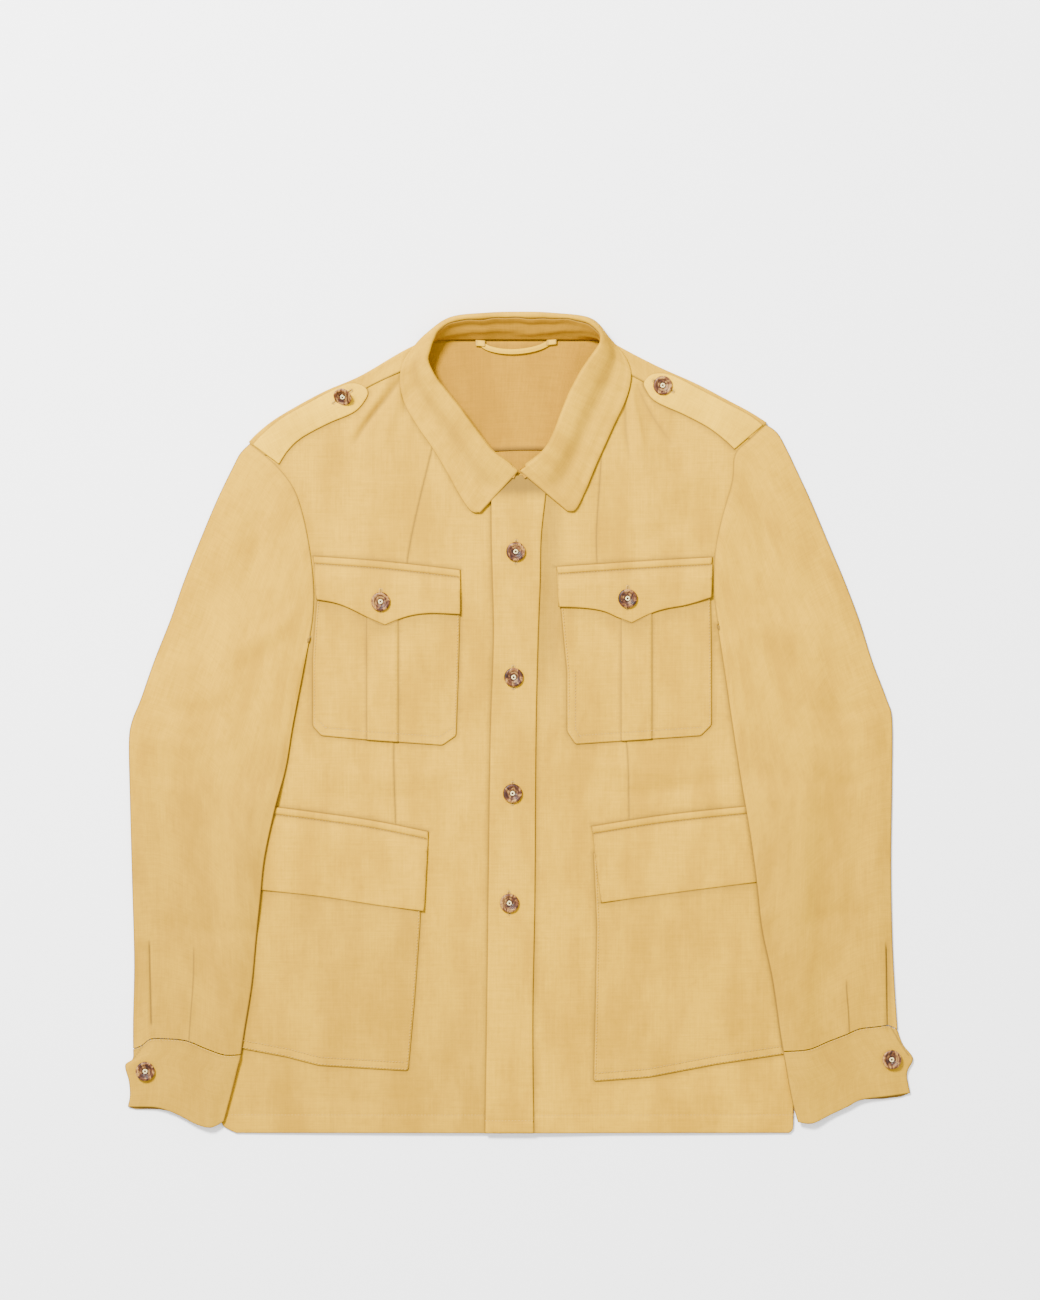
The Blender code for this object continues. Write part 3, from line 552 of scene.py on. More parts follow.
def measure(x, y, line):
    """Each point's distance from a line, which side of it, and how far along it the nearest place is."""
    x, y = np.asarray(x, float), np.asarray(y, float)
    line = np.asarray(line, float)
    steps = np.linalg.norm(np.diff(line, axis=0), axis=1)
    reach = np.concatenate([[0], np.cumsum(steps)])
    nearest = np.full(x.shape, 1e9)
    side = np.zeros(x.shape)
    share = np.zeros(x.shape)
    for i, ((ax, ay), (bx, by)) in enumerate(zip(line, line[1:])):
        dx, dy, length = bx - ax, by - ay, steps[i]
        t = np.clip(((x - ax) * dx + (y - ay) * dy) / (length * length), 0, 1)
        away = np.hypot(x - ax - t * dx, y - ay - t * dy)
        closer = away < nearest
        nearest = np.where(closer, away, nearest)
        side = np.where(closer, np.sign(dx * (y - ay) - dy * (x - ax)), side)
        share = np.where(closer, (reach[i] + t * length) / reach[-1], share)
    return nearest, side, share


def distance(x, y, line):
    return measure(x, y, line)[0]


def crease(x, y, line, height, width):
    """A soft ridge, or a trough where height is below zero, that fades out at both its ends."""
    away, _, share = measure(x, y, line)
    return height * bell(away, width) * np.sin(pi * share) ** 0.7


def creases(x, y, table, side=1):
    """The height that a table's creases add up to."""
    total = np.zeros(np.shape(x))
    for height, width, points in table:
        total = total + crease(x, y, smooth(place(side, points), 12), height, width)
    return total


def groove(x, y, line, depth, width):
    """A narrow pressed line, such as a row of stitches draws into cloth."""
    return -depth * bell(distance(x, y, line), width)


def strongest(*values):
    return np.maximum.reduce(np.broadcast_arrays(*values))


def shade_beneath(x, y, lines, reach=1.5):
    """Painted shade on points near the edges of the pieces above them: strongest at an edge."""
    return 0.8 * strongest(*[bell(distance(x, y, line), reach) for line in lines])


def edges_over(side):
    """The edges of what lies on a front."""
    lines = [cornered(place(side, table[side] + table[side][:1]), 3)
             for table in (CHEST_POCKET, LOWER_POCKET)]
    lines += [smooth(place(side, table[side]), 3) for table in (CHEST_FLAP_TOP, LOWER_FLAP_TOP, SLEEVE_INNER)]
    lines += [smooth(place(side, EPAULETTE[side]), 3),
              smooth(place(side, [row[5:7] for row in COLLAR[side][:9]]), 3)]
    lines.append(smooth([(low if side == RIGHT else high, up) for up, low, high in PLACKET], 3))
    return lines


def inside(x, y, ring):
    """Which points lie inside a closed outline."""
    hit = np.zeros(x.shape, bool)
    for (ax, ay), (bx, by) in zip(ring, np.roll(ring, -1, axis=0)):
        if ay != by:
            hit ^= ((ay > y) != (by > y)) & (x < (bx - ax) * (y - ay) / (by - ay) + ax)
    return hit


def level(points, at):
    """The second column of a table at values of its first one."""
    rows = sorted(points)
    return np.interp(at, [a for a, _ in rows], [b for _, b in rows])


# How high each layer lies

def loft(x, y):
    """The air between back and front."""
    across = np.maximum(0.0, 1 - (x / HALF_WIDTH) ** 2)
    return GAP + BELLY * across + SHOULDER_ROOM * ramp(y, *SHOULDER_RISE)


def front_top(side, x, y):
    """The top of a front on the back panel and the air. The left front also climbs over the right one."""
    lap = (CLOTH + GAP) * ramp(x, LAP_END, LAP_START) if side == LEFT else 0.0
    give = np.minimum(1, loft(x, y) / 1.2)
    return CLOTH + loft(x, y) + CLOTH + lap + creases(x, y, BODY_CREASES) * give


def chest_top(x, y):
    """The top of both fronts with the placket, eased over the placket's edges."""
    right = front_top(RIGHT, x, y) + (CLOTH + DOUBLE + 2 * GAP) * ramp(-x, *PLACKET_EASE[RIGHT])
    left = front_top(LEFT, x, y) + (DOUBLE + GAP) * ramp(x, *PLACKET_EASE[LEFT])
    return np.where(x < 0, right, left)


def placket_top(x, y):
    return front_top(LEFT, x, y) + GAP + DOUBLE


def pocket_top(side, x, y):
    return front_top(side, x, y) + GAP + CLOTH


def chest_pocket_top(side, x, y):
    first, last = PLEAT_LINES[side]
    out = side * x
    pleat = ramp(out, first, first + PLEAT_STEP) * ramp(out, last, last - PLEAT_STEP)
    return pocket_top(side, x, y) + PLEAT * pleat


def flap_top(side, top_line, lift, x, y):
    """A flap lies on the front at its top edge and on the pocket further down."""
    drop = level(top_line, side * x) - y
    return front_top(side, x, y) + GAP + DOUBLE + lift * ramp(drop, *FLAP_RISE)


def sleeve_under(side, x, y):
    """The lowest face of a sleeve: on the floor outside the body, on the front and pockets inside."""
    out = side * x
    edge = level([(up, out_) for out_, up in BODY_SIDE[side]], y)
    over = ramp(out, edge + STEP_OUT[0], edge + STEP_OUT[1]) * ramp(y, *STEP_UP)
    pocket = ramp(out, *POCKET_OUT) * ramp(y, *POCKET_UP)
    flap = pocket * ramp(y, *FLAP_UP)
    stack = front_top(side, x, y) + 1.5 * GAP + (CLOTH + GAP) * pocket + (DOUBLE + 2 * GAP) * flap
    return over * stack


# Making meshes

def add_object(name, data):
    made = bpy.data.objects.new(name, data)
    bpy.context.scene.collection.objects.link(made)
    return made


def new_mesh(name, points, faces, material, uv=None, shade=None):
    """An object of a mesh drawn in millimetres. uv is the cloth's own grain, also in millimetres."""
    mesh = bpy.data.meshes.new(name)
    mesh.from_pydata((np.asarray(points) * MM).tolist(), [], faces)
    if uv is not None:
        loops = np.empty(len(mesh.loops), int)
        mesh.loops.foreach_get("vertex_index", loops)
        mesh.uv_layers.new(name="grain").data.foreach_set("uv", (np.asarray(uv) * MM)[loops].ravel())
    if shade is not None:
        mesh.attributes.new("painted_shade", "FLOAT", "POINT").data.foreach_set("value", shade)
    mesh.materials.append(material)
    mesh.shade_smooth()
    return add_object(name, mesh)


def thicken(piece, thickness):
    """Gives an outer surface its wall, inwards, with a darker copy of the linen round its rim as painted
    shade.
    """
    piece.data.materials.append(KHAKI_EDGE_SHADE)
    wall = piece.modifiers.new("Wall", "SOLIDIFY")
    wall.material_offset_rim = 1
    wall.thickness = thickness * MM
    wall.offset = -1
    wall.use_even_offset = False


def beside(line, *offsets):
    """Lines parallel to a line, at distances to its left."""
    along = np.gradient(line, axis=0)
    along /= np.linalg.norm(along, axis=1)[:, None]
    left = np.column_stack([-along[:, 1], along[:, 0]])
    return [line + left * offset for offset in offsets]


def rounded(away, radius=1.1, drop=0.7):
    """How much a turned edge falls away, at distances from that edge."""
    part = np.clip(1 - away / radius, 0, 1)
    return -drop * (1 - np.sqrt(1 - part * part))


def sheet_points(outline, spacing, rows):
    """An even field of points inside an outline, finer beside its edge and along rows."""
    closed = np.vstack([outline, outline[:1]])
    turn = np.sum(closed[:-1, 0] * closed[1:, 1] - closed[1:, 0] * closed[:-1, 1])
    inward = 1 if turn > 0 else -1
    ring = outline[::2] if spacing > 5 else outline
    near = beside(np.vstack([ring, ring[:1]]), inward * 0.45, inward * 1.2)
    fixed = [outline]
    for line in near + list(rows):
        away, _, _ = measure(line[:, 0], line[:, 1], closed)
        keep = inside(line[:, 0], line[:, 1], outline) & (away > 0.4)
        fixed.append(line[keep])
    fixed = np.vstack(fixed)
    low, high = outline.min(axis=0), outline.max(axis=0)
    ys = np.arange(low[1], high[1], spacing * 0.87)
    xs = np.arange(low[0], high[0], spacing)
    x, y = np.meshgrid(xs, ys)
    x = x + spacing / 2 * (np.arange(len(ys)) % 2)[:, None]
    x, y = x.ravel(), y.ravel()
    keep = inside(x, y, outline)
    x, y = x[keep], y[keep]
    tree = KDTree(len(fixed))
    for i, (px, py) in enumerate(fixed):
        tree.insert((px, py, 0), i)
    tree.balance()
    free = [(px, py) for px, py in zip(x, y) if tree.find((px, py, 0))[2] > 0.62 * spacing]
    return fixed, np.array(free).reshape(-1, 2)


def cut_sheet(name, outline, surface, thickness, material, spacing=3.0, rows=(), turn=0.0):
    """Cuts a piece along its outline, lays it on surface(x, y) and gives it its wall."""
    fixed, free = sheet_points(outline, spacing, rows)
    points = np.vstack([fixed, free])
    count = len(outline)
    edges = [(i, (i + 1) % count) for i in range(count)]
    flat = [Vector((x, y)) for x, y in points]
    verts, _, faces, _, _, _ = delaunay_2d_cdt(flat, edges, [], 1, 0.0001)
    xy = np.array([(v.x, v.y) for v in verts])
    away = distance(xy[:, 0], xy[:, 1], np.vstack([outline, outline[:1]]))
    z, shade = surface(xy[:, 0], xy[:, 1], away)
    angle = radians(turn)
    grain = np.column_stack([xy[:, 0] * cos(angle) - xy[:, 1] * sin(angle),
                             xy[:, 0] * sin(angle) + xy[:, 1] * cos(angle)])
    made = new_mesh(name, np.column_stack([xy, z]), faces, material, grain, shade)
    thicken(made, thickness)
    return made


def loft_mesh(name, grid, thickness, material, grain, ring=False, flip=False, shade=None):
    """A surface through a grid of points, a row for each column of the cut, with its wall."""
    rows, count = grid.shape[:2]
    index = np.arange(rows * count).reshape(rows, count)
    faces = []
    for i in range(rows - 1):
        for j in range(count if ring else count - 1):
            k = (j + 1) % count
            face = (index[i, j], index[i + 1, j], index[i + 1, k], index[i, k])
            faces.append(face[::-1] if flip else face)
    faces = [tuple(int(v) for v in face) for face in faces]
    flat_shade = np.zeros(rows * count) if shade is None else np.asarray(shade, float).ravel()
    made = new_mesh(name, grid.reshape(-1, 3), faces, material, grain.reshape(-1, 2), flat_shade)
    thicken(made, thickness)
    return made


# Materials

def linear(text):
    """A linear colour from an sRGB hex value."""
    parts = [int(text[i:i + 2], 16) / 255 for i in (1, 3, 5)]
    return tuple(c / 12.92 if c <= 0.04045 else ((c + 0.055) / 1.055) ** 2.4 for c in parts) + (1.0,)


def add_node(tree, kind, inputs=None, **settings):
    """Adds a node. An input is a number, a colour or another node's output."""
    node = tree.nodes.new(kind)
    for name, value in settings.items():
        setattr(node, name, value)
    for key, value in (inputs or {}).items():
        if isinstance(value, bpy.types.NodeSocket):
            tree.links.new(value, node.inputs[key])
        else:
            node.inputs[key].default_value = value
    return node


def new_material(name):
    material = bpy.data.materials.new(name)
    material.use_nodes = True
    tree = material.node_tree
    return material, tree, tree.nodes["Principled BSDF"]


def linen(name, light, deep, slub, shaded):
    """Garment-washed linen and cotton, plain woven from slubby yarn: matt, a little fuzzy at grazing angles,
    with soft patches where it was pressed and faint long slubs both ways."""
    material, tree, shader = new_material(name)
    grain = add_node(tree, "ShaderNodeUVMap", uv_map="grain")
    place_on = add_node(tree, "ShaderNodeTexCoord")
    # Slubs 1.3 mm thick and 20 to 60 mm long, along and across the grain
    warp_space = add_node(tree, "ShaderNodeMapping", {"Vector": grain.outputs["UV"], "Scale": (760, 26, 1)})
    weft_space = add_node(tree, "ShaderNodeMapping", {"Vector": grain.outputs["UV"], "Scale": (30, 760, 1)})
    warp = add_node(tree, "ShaderNodeTexNoise", {"Vector": warp_space.outputs[0], "Scale": 1, "Detail": 3})
    weft = add_node(tree, "ShaderNodeTexNoise", {"Vector": weft_space.outputs[0], "Scale": 1, "Detail": 3})
    # The yarns themselves are 0.5 mm apart. They are drawn 1.1 mm apart, as fine as a picture can hold.
    yarns = []
    for direction in ("X", "Y"):
        yarns.append(add_node(tree, "ShaderNodeTexWave", {
            "Vector": grain.outputs["UV"], "Scale": 285, "Distortion": 1.6, "Detail": 2, "Detail Scale": 1.4},
            wave_type="BANDS", bands_direction=direction))
    weave = add_node(tree, "ShaderNodeMath", {0: yarns[0].outputs["Fac"], 1: yarns[1].outputs["Fac"]},
                     operation="ADD")
    slubs = add_node(tree, "ShaderNodeMath", {0: warp.outputs["Fac"], 1: weft.outputs["Fac"]},
                     operation="ADD")
    patch_space = add_node(tree, "ShaderNodeMapping", {"Vector": grain.outputs["UV"], "Scale": (24, 9, 1)})
    patches = add_node(tree, "ShaderNodeTexNoise", {"Vector": patch_space.outputs[0], "Scale": 1,
                                                    "Detail": 5, "Roughness": 0.6})
    specks = add_node(tree, "ShaderNodeTexNoise", {"Vector": place_on.outputs["Object"], "Scale": 190,
                                                   "Detail": 2})
    patch_share = add_node(tree, "ShaderNodeMapRange", {0: patches.outputs["Fac"], 1: 0.36, 2: 0.66, 3: 0,
                                                        4: 1}, interpolation_type="SMOOTHSTEP")
    base = add_node(tree, "ShaderNodeMix", {0: patch_share.outputs[0], 6: linear(light), 7: linear(deep)},
                    data_type="RGBA")
    slub_share = add_node(tree, "ShaderNodeMapRange", {0: slubs.outputs[0], 1: 0.75, 2: 1.3, 3: 0, 4: 0.32})
    toned = add_node(tree, "ShaderNodeMix", {0: slub_share.outputs[0], 6: base.outputs[2], 7: linear(slub)},
                     data_type="RGBA")
    speck_share = add_node(tree, "ShaderNodeMapRange", {0: specks.outputs["Fac"], 1: 0.5, 2: 0.75, 3: 0,
                                                        4: 0.16})
    specked = add_node(tree, "ShaderNodeMix", {0: speck_share.outputs[0], 6: toned.outputs[2],
                                               7: linear(slub)}, data_type="RGBA")
    # Painted shade: a point attribute mixes in the darker shaded colour along edges, seams and grooves, under
    # the pieces above and in creases
    painted_shade = add_node(tree, "ShaderNodeAttribute", attribute_name="painted_shade")
    shade_share = add_node(tree, "ShaderNodeMath", {0: painted_shade.outputs["Fac"], 1: 0.92}, operation="MULTIPLY")
    coloured = add_node(tree, "ShaderNodeMix", {0: shade_share.outputs[0], 6: specked.outputs[2],
                                                7: linear(shaded)}, data_type="RGBA")
    relief = add_node(tree, "ShaderNodeMath", {0: slubs.outputs[0], 1: weave.outputs[0]}, operation="ADD")
    bump = add_node(tree, "ShaderNodeBump", {"Height": relief.outputs[0], "Strength": 0.32,
                                             "Distance": 0.00022})
    tree.links.new(coloured.outputs[2], shader.inputs["Base Color"])
    tree.links.new(bump.outputs["Normal"], shader.inputs["Normal"])
    shader.inputs["Roughness"].default_value = 0.88
    shader.inputs["Specular IOR Level"].default_value = 0.03
    shader.inputs["Specular Tint"].default_value = linear(light)
    shader.inputs["Sheen Weight"].default_value = 0.04
    shader.inputs["Sheen Roughness"].default_value = 0.5
    shader.inputs["Sheen Tint"].default_value = linear(light)
    return material


def cotton_thread(name, colour, shade):
    """Twisted sewing cotton: matt, with a fine spiral that only breaks up its light."""
    material, tree, shader = new_material(name)
    place_on = add_node(tree, "ShaderNodeTexCoord")
    ply = add_node(tree, "ShaderNodeTexWave", {"Vector": place_on.outputs["Object"], "Scale": 900,
                                               "Distortion": 2.0}, bands_direction="DIAGONAL")
    mixed = add_node(tree, "ShaderNodeMix", {0: ply.outputs["Fac"], 6: linear(colour), 7: linear(shade)},
                     data_type="RGBA")
    tree.links.new(mixed.outputs[2], shader.inputs["Base Color"])
    shader.inputs["Roughness"].default_value = 0.75
    shader.inputs["Sheen Weight"].default_value = 0.2
    return material


def polished_horn():
    """Buffalo horn, turned and polished: cream and tan, run through with dark brown, under a clear gloss."""
    material, tree, shader = new_material("polished_horn")
    place_on = add_node(tree, "ShaderNodeTexCoord")
    flow = add_node(tree, "ShaderNodeMapping", {"Vector": place_on.outputs["Object"], "Scale": (95, 62, 40),
                                                "Rotation": (0.2, 0.1, 0.6)})
    clouds = add_node(tree, "ShaderNodeTexNoise", {"Vector": flow.outputs[0], "Scale": 1.5, "Detail": 4,
                                                   "Roughness": 0.6, "Distortion": 1.4})
    bands = add_node(tree, "ShaderNodeValToRGB", {"Fac": clouds.outputs["Fac"]})
    stops = [(0.30, "#160904"), (0.41, "#351809"), (0.49, "#5C3314"), (0.56, "#A47A3C"), (0.64, "#6B3F19"),
             (0.78, "#241006")]
    for position, _ in stops[1:-1]:
        bands.color_ramp.elements.new(position)
    for element, (position, colour) in zip(bands.color_ramp.elements, stops):
        element.position = position
        element.color = linear(colour)
    fibres = add_node(tree, "ShaderNodeTexNoise", {"Vector": flow.outputs[0], "Scale": 11, "Detail": 3})
    fibre_share = add_node(tree, "ShaderNodeMapRange", {0: fibres.outputs["Fac"], 1: 0.45, 2: 0.8, 3: 0,
                                                        4: 0.45})
    streaked = add_node(tree, "ShaderNodeMix", {0: fibre_share.outputs[0], 6: bands.outputs["Color"],
                                                7: linear("#4A2412")}, data_type="RGBA")
    # Darker brown in the rim's groove, and painted shade down the holes
    painted_shade = add_node(tree, "ShaderNodeAttribute", attribute_name="painted_shade")
    coloured = add_node(tree, "ShaderNodeMix", {0: painted_shade.outputs["Fac"], 6: streaked.outputs[2],
                                                7: linear("#2A1208")}, data_type="RGBA")
    bump = add_node(tree, "ShaderNodeBump", {"Height": fibres.outputs["Fac"], "Strength": 0.12,
                                             "Distance": 0.0001})
    tree.links.new(coloured.outputs[2], shader.inputs["Base Color"])
    tree.links.new(bump.outputs["Normal"], shader.inputs["Normal"])
    shader.inputs["Roughness"].default_value = 0.5
    shader.inputs["IOR"].default_value = 1.54
    shader.inputs["Specular IOR Level"].default_value = 0.2
    shader.inputs["Coat Weight"].default_value = 0.05
    shader.inputs["Coat Roughness"].default_value = 0.2
    return material


def paper_floor():
    """Matt white background paper."""
    material, tree, shader = new_material("white_background_paper")
    place_on = add_node(tree, "ShaderNodeTexCoord")
    fibre = add_node(tree, "ShaderNodeTexNoise", {"Vector": place_on.outputs["Object"], "Scale": 260,
                                                  "Detail": 2})
    tone = add_node(tree, "ShaderNodeMix", {0: fibre.outputs["Fac"], 6: linear("#FFFFFF"),
                                            7: linear("#FCFCFC")}, data_type="RGBA")
    tree.links.new(tone.outputs[2], shader.inputs["Base Color"])
    shader.inputs["Roughness"].default_value = 0.95
    shader.inputs["Specular IOR Level"].default_value = 0.1
    return material


KHAKI = linen("khaki_linen", "#C99914", "#B48612", "#8E6A12", "#6E5427")
# A lighter copy of the linen, painted light, for the raised straps and the hanger loop
KHAKI_LIT = linen("khaki_linen_lit", "#E0AF16", "#CFA014", "#A67C14", "#6E5427")
# A darker copy of the linen, painted shade, for the insides seen through the neck: back, yoke and band
KHAKI_INSIDE_SHADE = linen("khaki_linen_inside_shade", "#A87816", "#9A6D14", "#7A5A12", "#6C5330")
# A darker, greyer copy of the linen, painted shade, for the rims of every wall
KHAKI_EDGE_SHADE = linen("khaki_linen_edge_shade", "#94763E", "#886B37", "#705C34", "#60502F")
KHAKI_THREAD = cotton_thread("khaki_sewing_cotton", "#C49C36", "#A07A22")
CREAM_THREAD = cotton_thread("cream_sewing_cotton", "#E2D3A0", "#C9B26F")
HORN = polished_horn()


# Sewing

def stitch_tree():
    """Geometry Nodes that lay one small thread grain after another along lines."""
    tree = bpy.data.node_groups.new("stitches", "GeometryNodeTree")
    face = tree.interface
    face.new_socket("Lines", in_out="INPUT", socket_type="NodeSocketGeometry")
    for label, value in (("Pitch", 0.003), ("Length", 0.0022), ("Width", 0.0007), ("Thickness", 0.0006)):
        face.new_socket(label, in_out="INPUT", socket_type="NodeSocketFloat").default_value = value
    face.new_socket("Seed", in_out="INPUT", socket_type="NodeSocketInt").default_value = 7
    face.new_socket("Thread", in_out="INPUT", socket_type="NodeSocketMaterial")
    face.new_socket("Stitches", in_out="OUTPUT", socket_type="NodeSocketGeometry")
    given = tree.nodes.new("NodeGroupInput").outputs
    curve = add_node(tree, "GeometryNodeMeshToCurve", {"Mesh": given["Lines"]})
    level_curve = add_node(tree, "GeometryNodeSetCurveNormal", {"Curve": curve.outputs[0]}, mode="Z_UP")
    spots = add_node(tree, "GeometryNodeCurveToPoints", {"Curve": level_curve.outputs[0],
                                                         "Length": given["Pitch"]}, mode="LENGTH")
    grain = add_node(tree, "GeometryNodeMeshIcoSphere", {"Radius": 0.5, "Subdivisions": 1})
    soft_grain = add_node(tree, "GeometryNodeSetShadeSmooth", {0: grain.outputs["Mesh"]})
    size = add_node(tree, "ShaderNodeCombineXYZ", {"X": given["Width"], "Y": given["Thickness"],
                                                   "Z": given["Length"]})
    placed = add_node(tree, "GeometryNodeInstanceOnPoints", {
        "Points": spots.outputs["Points"], "Instance": soft_grain.outputs[0],
        "Rotation": spots.outputs["Rotation"], "Scale": size.outputs[0]})
    sway = add_node(tree, "FunctionNodeRandomValue", {"Min": (-0.09, -0.09, 0.0), "Max": (0.09, 0.09, 0.0),
                                                      "Seed": given["Seed"]}, data_type="FLOAT_VECTOR")
    turn = add_node(tree, "FunctionNodeEulerToRotation", {0: sway.outputs[0]})
    swayed = add_node(tree, "GeometryNodeRotateInstances", {"Instances": placed.outputs[0],
                                                            "Rotation": turn.outputs[0]})
    real = add_node(tree, "GeometryNodeRealizeInstances", {"Geometry": swayed.outputs[0]})
    named = add_node(tree, "GeometryNodeSetMaterial", {"Geometry": real.outputs[0],
                                                       "Material": given["Thread"]})
    result = tree.nodes.new("NodeGroupOutput")
    tree.links.new(named.outputs[0], result.inputs["Stitches"])
    return tree


STITCHES = stitch_tree()


def sew(name, lines, thread, pitch=3.0, length=2.2, width=0.7, thickness=0.6, seed=7):
    """Rows of stitches along lines, as one piece. Sizes are in millimetres."""
    points, edges = [], []
    for line in lines:
        start = len(points)
        points += (np.asarray(line) * MM).tolist()
        edges += [(i, i + 1) for i in range(start, len(points) - 1)]
    mesh = bpy.data.meshes.new(name + "_lines")
    mesh.from_pydata(points, edges, [])
    guide = add_object(name + "_lines", mesh)
    nodes = guide.modifiers.new("Stitches", "NODES")
    nodes.node_group = STITCHES
    sizes = {"Pitch": pitch * MM, "Length": length * MM, "Width": width * MM, "Thickness": thickness * MM,
             "Seed": seed, "Thread": thread}
    for item in STITCHES.interface.items_tree:
        if item.name in sizes:
            nodes[item.identifier] = sizes[item.name]
    sewn = guide.evaluated_get(bpy.context.evaluated_depsgraph_get())
    made = add_object(name, bpy.data.meshes.new_from_object(sewn))
    bpy.data.objects.remove(guide)
    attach(made, "root")


def on_cloth(surface, line, sink=0.1):
    """A line drawn on a piece's surface, sunk a little into it, ready to sew."""
    line = np.asarray(line, float)
    z, _ = surface(line[:, 0], line[:, 1], np.full(len(line), 99.0))
    return np.column_stack([line, z - sink])


# The pieces. Each has a surface that gives its height and how much painted shade it has, from 0 to 1: along
# edges, seams and grooves, under the pieces above and in creases.

def dress(piece, node, flat, area, rests_on, held="laid"):
    """Puts a piece of cloth in the place of its solid."""
    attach(piece, "root")
    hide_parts(node)
    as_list(rests_on)


def back_seam():
    """The seam under the back yoke, a little lower and longer on the wearer's right."""
    last_out, last_up = BACK_SEAM[-1]
    points = []
    for side, rows in ((RIGHT, BACK_SEAM[::-1]), (LEFT, BACK_SEAM[1:])):
        end_out, end_up = ARMHOLE_BACK[side][0]
        points += [(side * out * (end_out / last_out), up - (last_up - end_up) * out / last_out)
                   for out, up in rows]
    return points


def make_back():
    seam = smooth(back_seam(), 6) + [0, 2.2]
    halves = {}
    for side in (RIGHT, LEFT):
        halves[side] = [smooth(place(side, ARMHOLE_BACK[side]), 6), smooth(place(side, BODY_SIDE[side]), 6),
                        smooth(place(side, HEM_CORNER[side]), 3)]
    hem = np.linspace(halves[RIGHT][2][-1], halves[LEFT][2][-1], 80)
    outline = ring_of(seam[::-1], *halves[RIGHT], hem, *[run[::-1] for run in reversed(halves[LEFT])])

    def surface(x, y, away):
        waves = creases(x, y, BACK_CREASES) * ramp(away, 4, 20)
        # Painted shade along the back's edges
        return CLOTH + np.maximum(waves, 0), 0.5 * ramp(away, 2, 0)
    # The back uses the darker copy of the linen: painted shade inside the neck
    back = cut_sheet("back_panel", outline, surface, CLOTH, KHAKI_INSIDE_SHADE, spacing=6.5)
    dress(back, "back", *CUTS["back"], rests_on=["floor"])


def make_yoke():
    """Columns from the wearer's right armhole to the left one. Each runs up the back, and those at the
    shoulders go over the fold and down to the forward seam. Its edges lie over the back and the fronts."""
    last = 2 * SHOULDER_COLUMNS + NECK_COLUMNS
    seam_line = smooth(back_seam(), shares=np.linspace(0, 1, last + 1))
    up_back = np.linspace(0, 1, 22)
    round_fold = np.linspace(0, pi, 9)[1:]
    down_front = np.linspace(0, 1, 9)[1:]

    def back_part(below, top, middle=None):
        if middle is None:
            line = below + (top - below) * up_back[:, None]
        else:
            line = smooth([below, middle, top], shares=up_back)
        lapped = (CLOTH + 0.05) * ramp(np.linalg.norm(line - line[0], axis=1), 7.0, 2.6)
        return np.column_stack([line, lapped])

    # Columns that go over a shoulder: up the back, round the fold and down the front
    halves = {}
    for side in (RIGHT, LEFT):
        shares = np.linspace(0, 1, SHOULDER_COLUMNS + 1)
        shoulder = smooth(place(side, SHOULDER[side]), shares=shares)
        seam = smooth(place(side, FORWARD_SEAM[side]), shares=shares)
        armhole = np.array(place(side, ARMHOLE_BACK_TOP[side]))[1]
        along = np.gradient(shoulder, axis=0)
        normals = np.column_stack([-along[:, 1], along[:, 0]]) / np.linalg.norm(along, axis=1)[:, None]
        normals *= np.where(normals[:, 1] < 0, -1, 1)[:, None]
        halves[side] = []
        for i, top in enumerate(shoulder):
            below = seam_line[i] if side == RIGHT else seam_line[last - i]
            below = below + YOKE_LAP
            halfway = (below + top) / 2
            middle = armhole if i == 0 else halfway + (armhole - halfway) * max(0, 1 - i / 12) ** 2
            height = float(front_top(side, top[0], top[1]))
            bulge = top + normals[i] * height / 2 * np.sin(round_fold)[:, None]
            fold = np.column_stack([bulge, height / 2 * (1 - np.cos(round_fold))])
            strip = top + (seam[i] + np.array([0, SEAM - 1.6]) - top) * down_front[:, None]
            lift = 1.0 * ramp(down_front, 0.2, 0.8)
            front = np.column_stack([strip, front_top(side, strip[:, 0], strip[:, 1]) + lift])
            halves[side].append(np.vstack([back_part(below, top, middle), fold, front]))
    # Columns between them, which end at the neck
    neck = []
    right_corner, left_corner = SHOULDER[RIGHT][-1][0], SHOULDER[LEFT][-1][0]
    for i in range(1, NECK_COLUMNS):
        below = seam_line[SHOULDER_COLUMNS + i] + YOKE_LAP
        top_x = -right_corner + (right_corner + left_corner) * i / NECK_COLUMNS
        top = np.array([top_x, BACK_NECK + NECK_RAISED])
        neck.append(back_part(below, top))

    points, faces, grain, index = [], [], [], []
    for column in halves[RIGHT] + neck + halves[LEFT][::-1]:
        index.append(list(range(len(points), len(points) + len(column))))
        reach = np.concatenate([[0], np.cumsum(np.linalg.norm(np.diff(column, axis=0), axis=1))])
        points += column.tolist()
        grain += [(column[0][0], r) for r in reach]
    # Faces past the back part show the outer cloth
    outside = []
    for first, second in zip(index, index[1:]):
        for row, (a, b, c, d) in enumerate(zip(first, second, second[1:], first[1:])):
            faces.append((d, c, b, a))
            outside.append(row >= len(up_back) - 1)
    # Painted shade along the yoke's lower edge over the back and along its forward seam
    shade = np.zeros(len(points))
    for column in index:
        shade[column[0]] = 0.8
        if len(column) > len(up_back):
            shade[column[-1]] = 0.7
    # The part inside the neck uses the darker copy of the linen: painted shade
    yoke = new_mesh("shoulder_yoke", points, faces, KHAKI_INSIDE_SHADE, grain, shade)
    yoke.data.materials.append(KHAKI)
    yoke.data.polygons.foreach_set("material_index", [int(out) for out in outside])
    thicken(yoke, CLOTH)
    dress(yoke, "yoke", *CUTS["yoke"], rests_on=["floor"], held="folded")


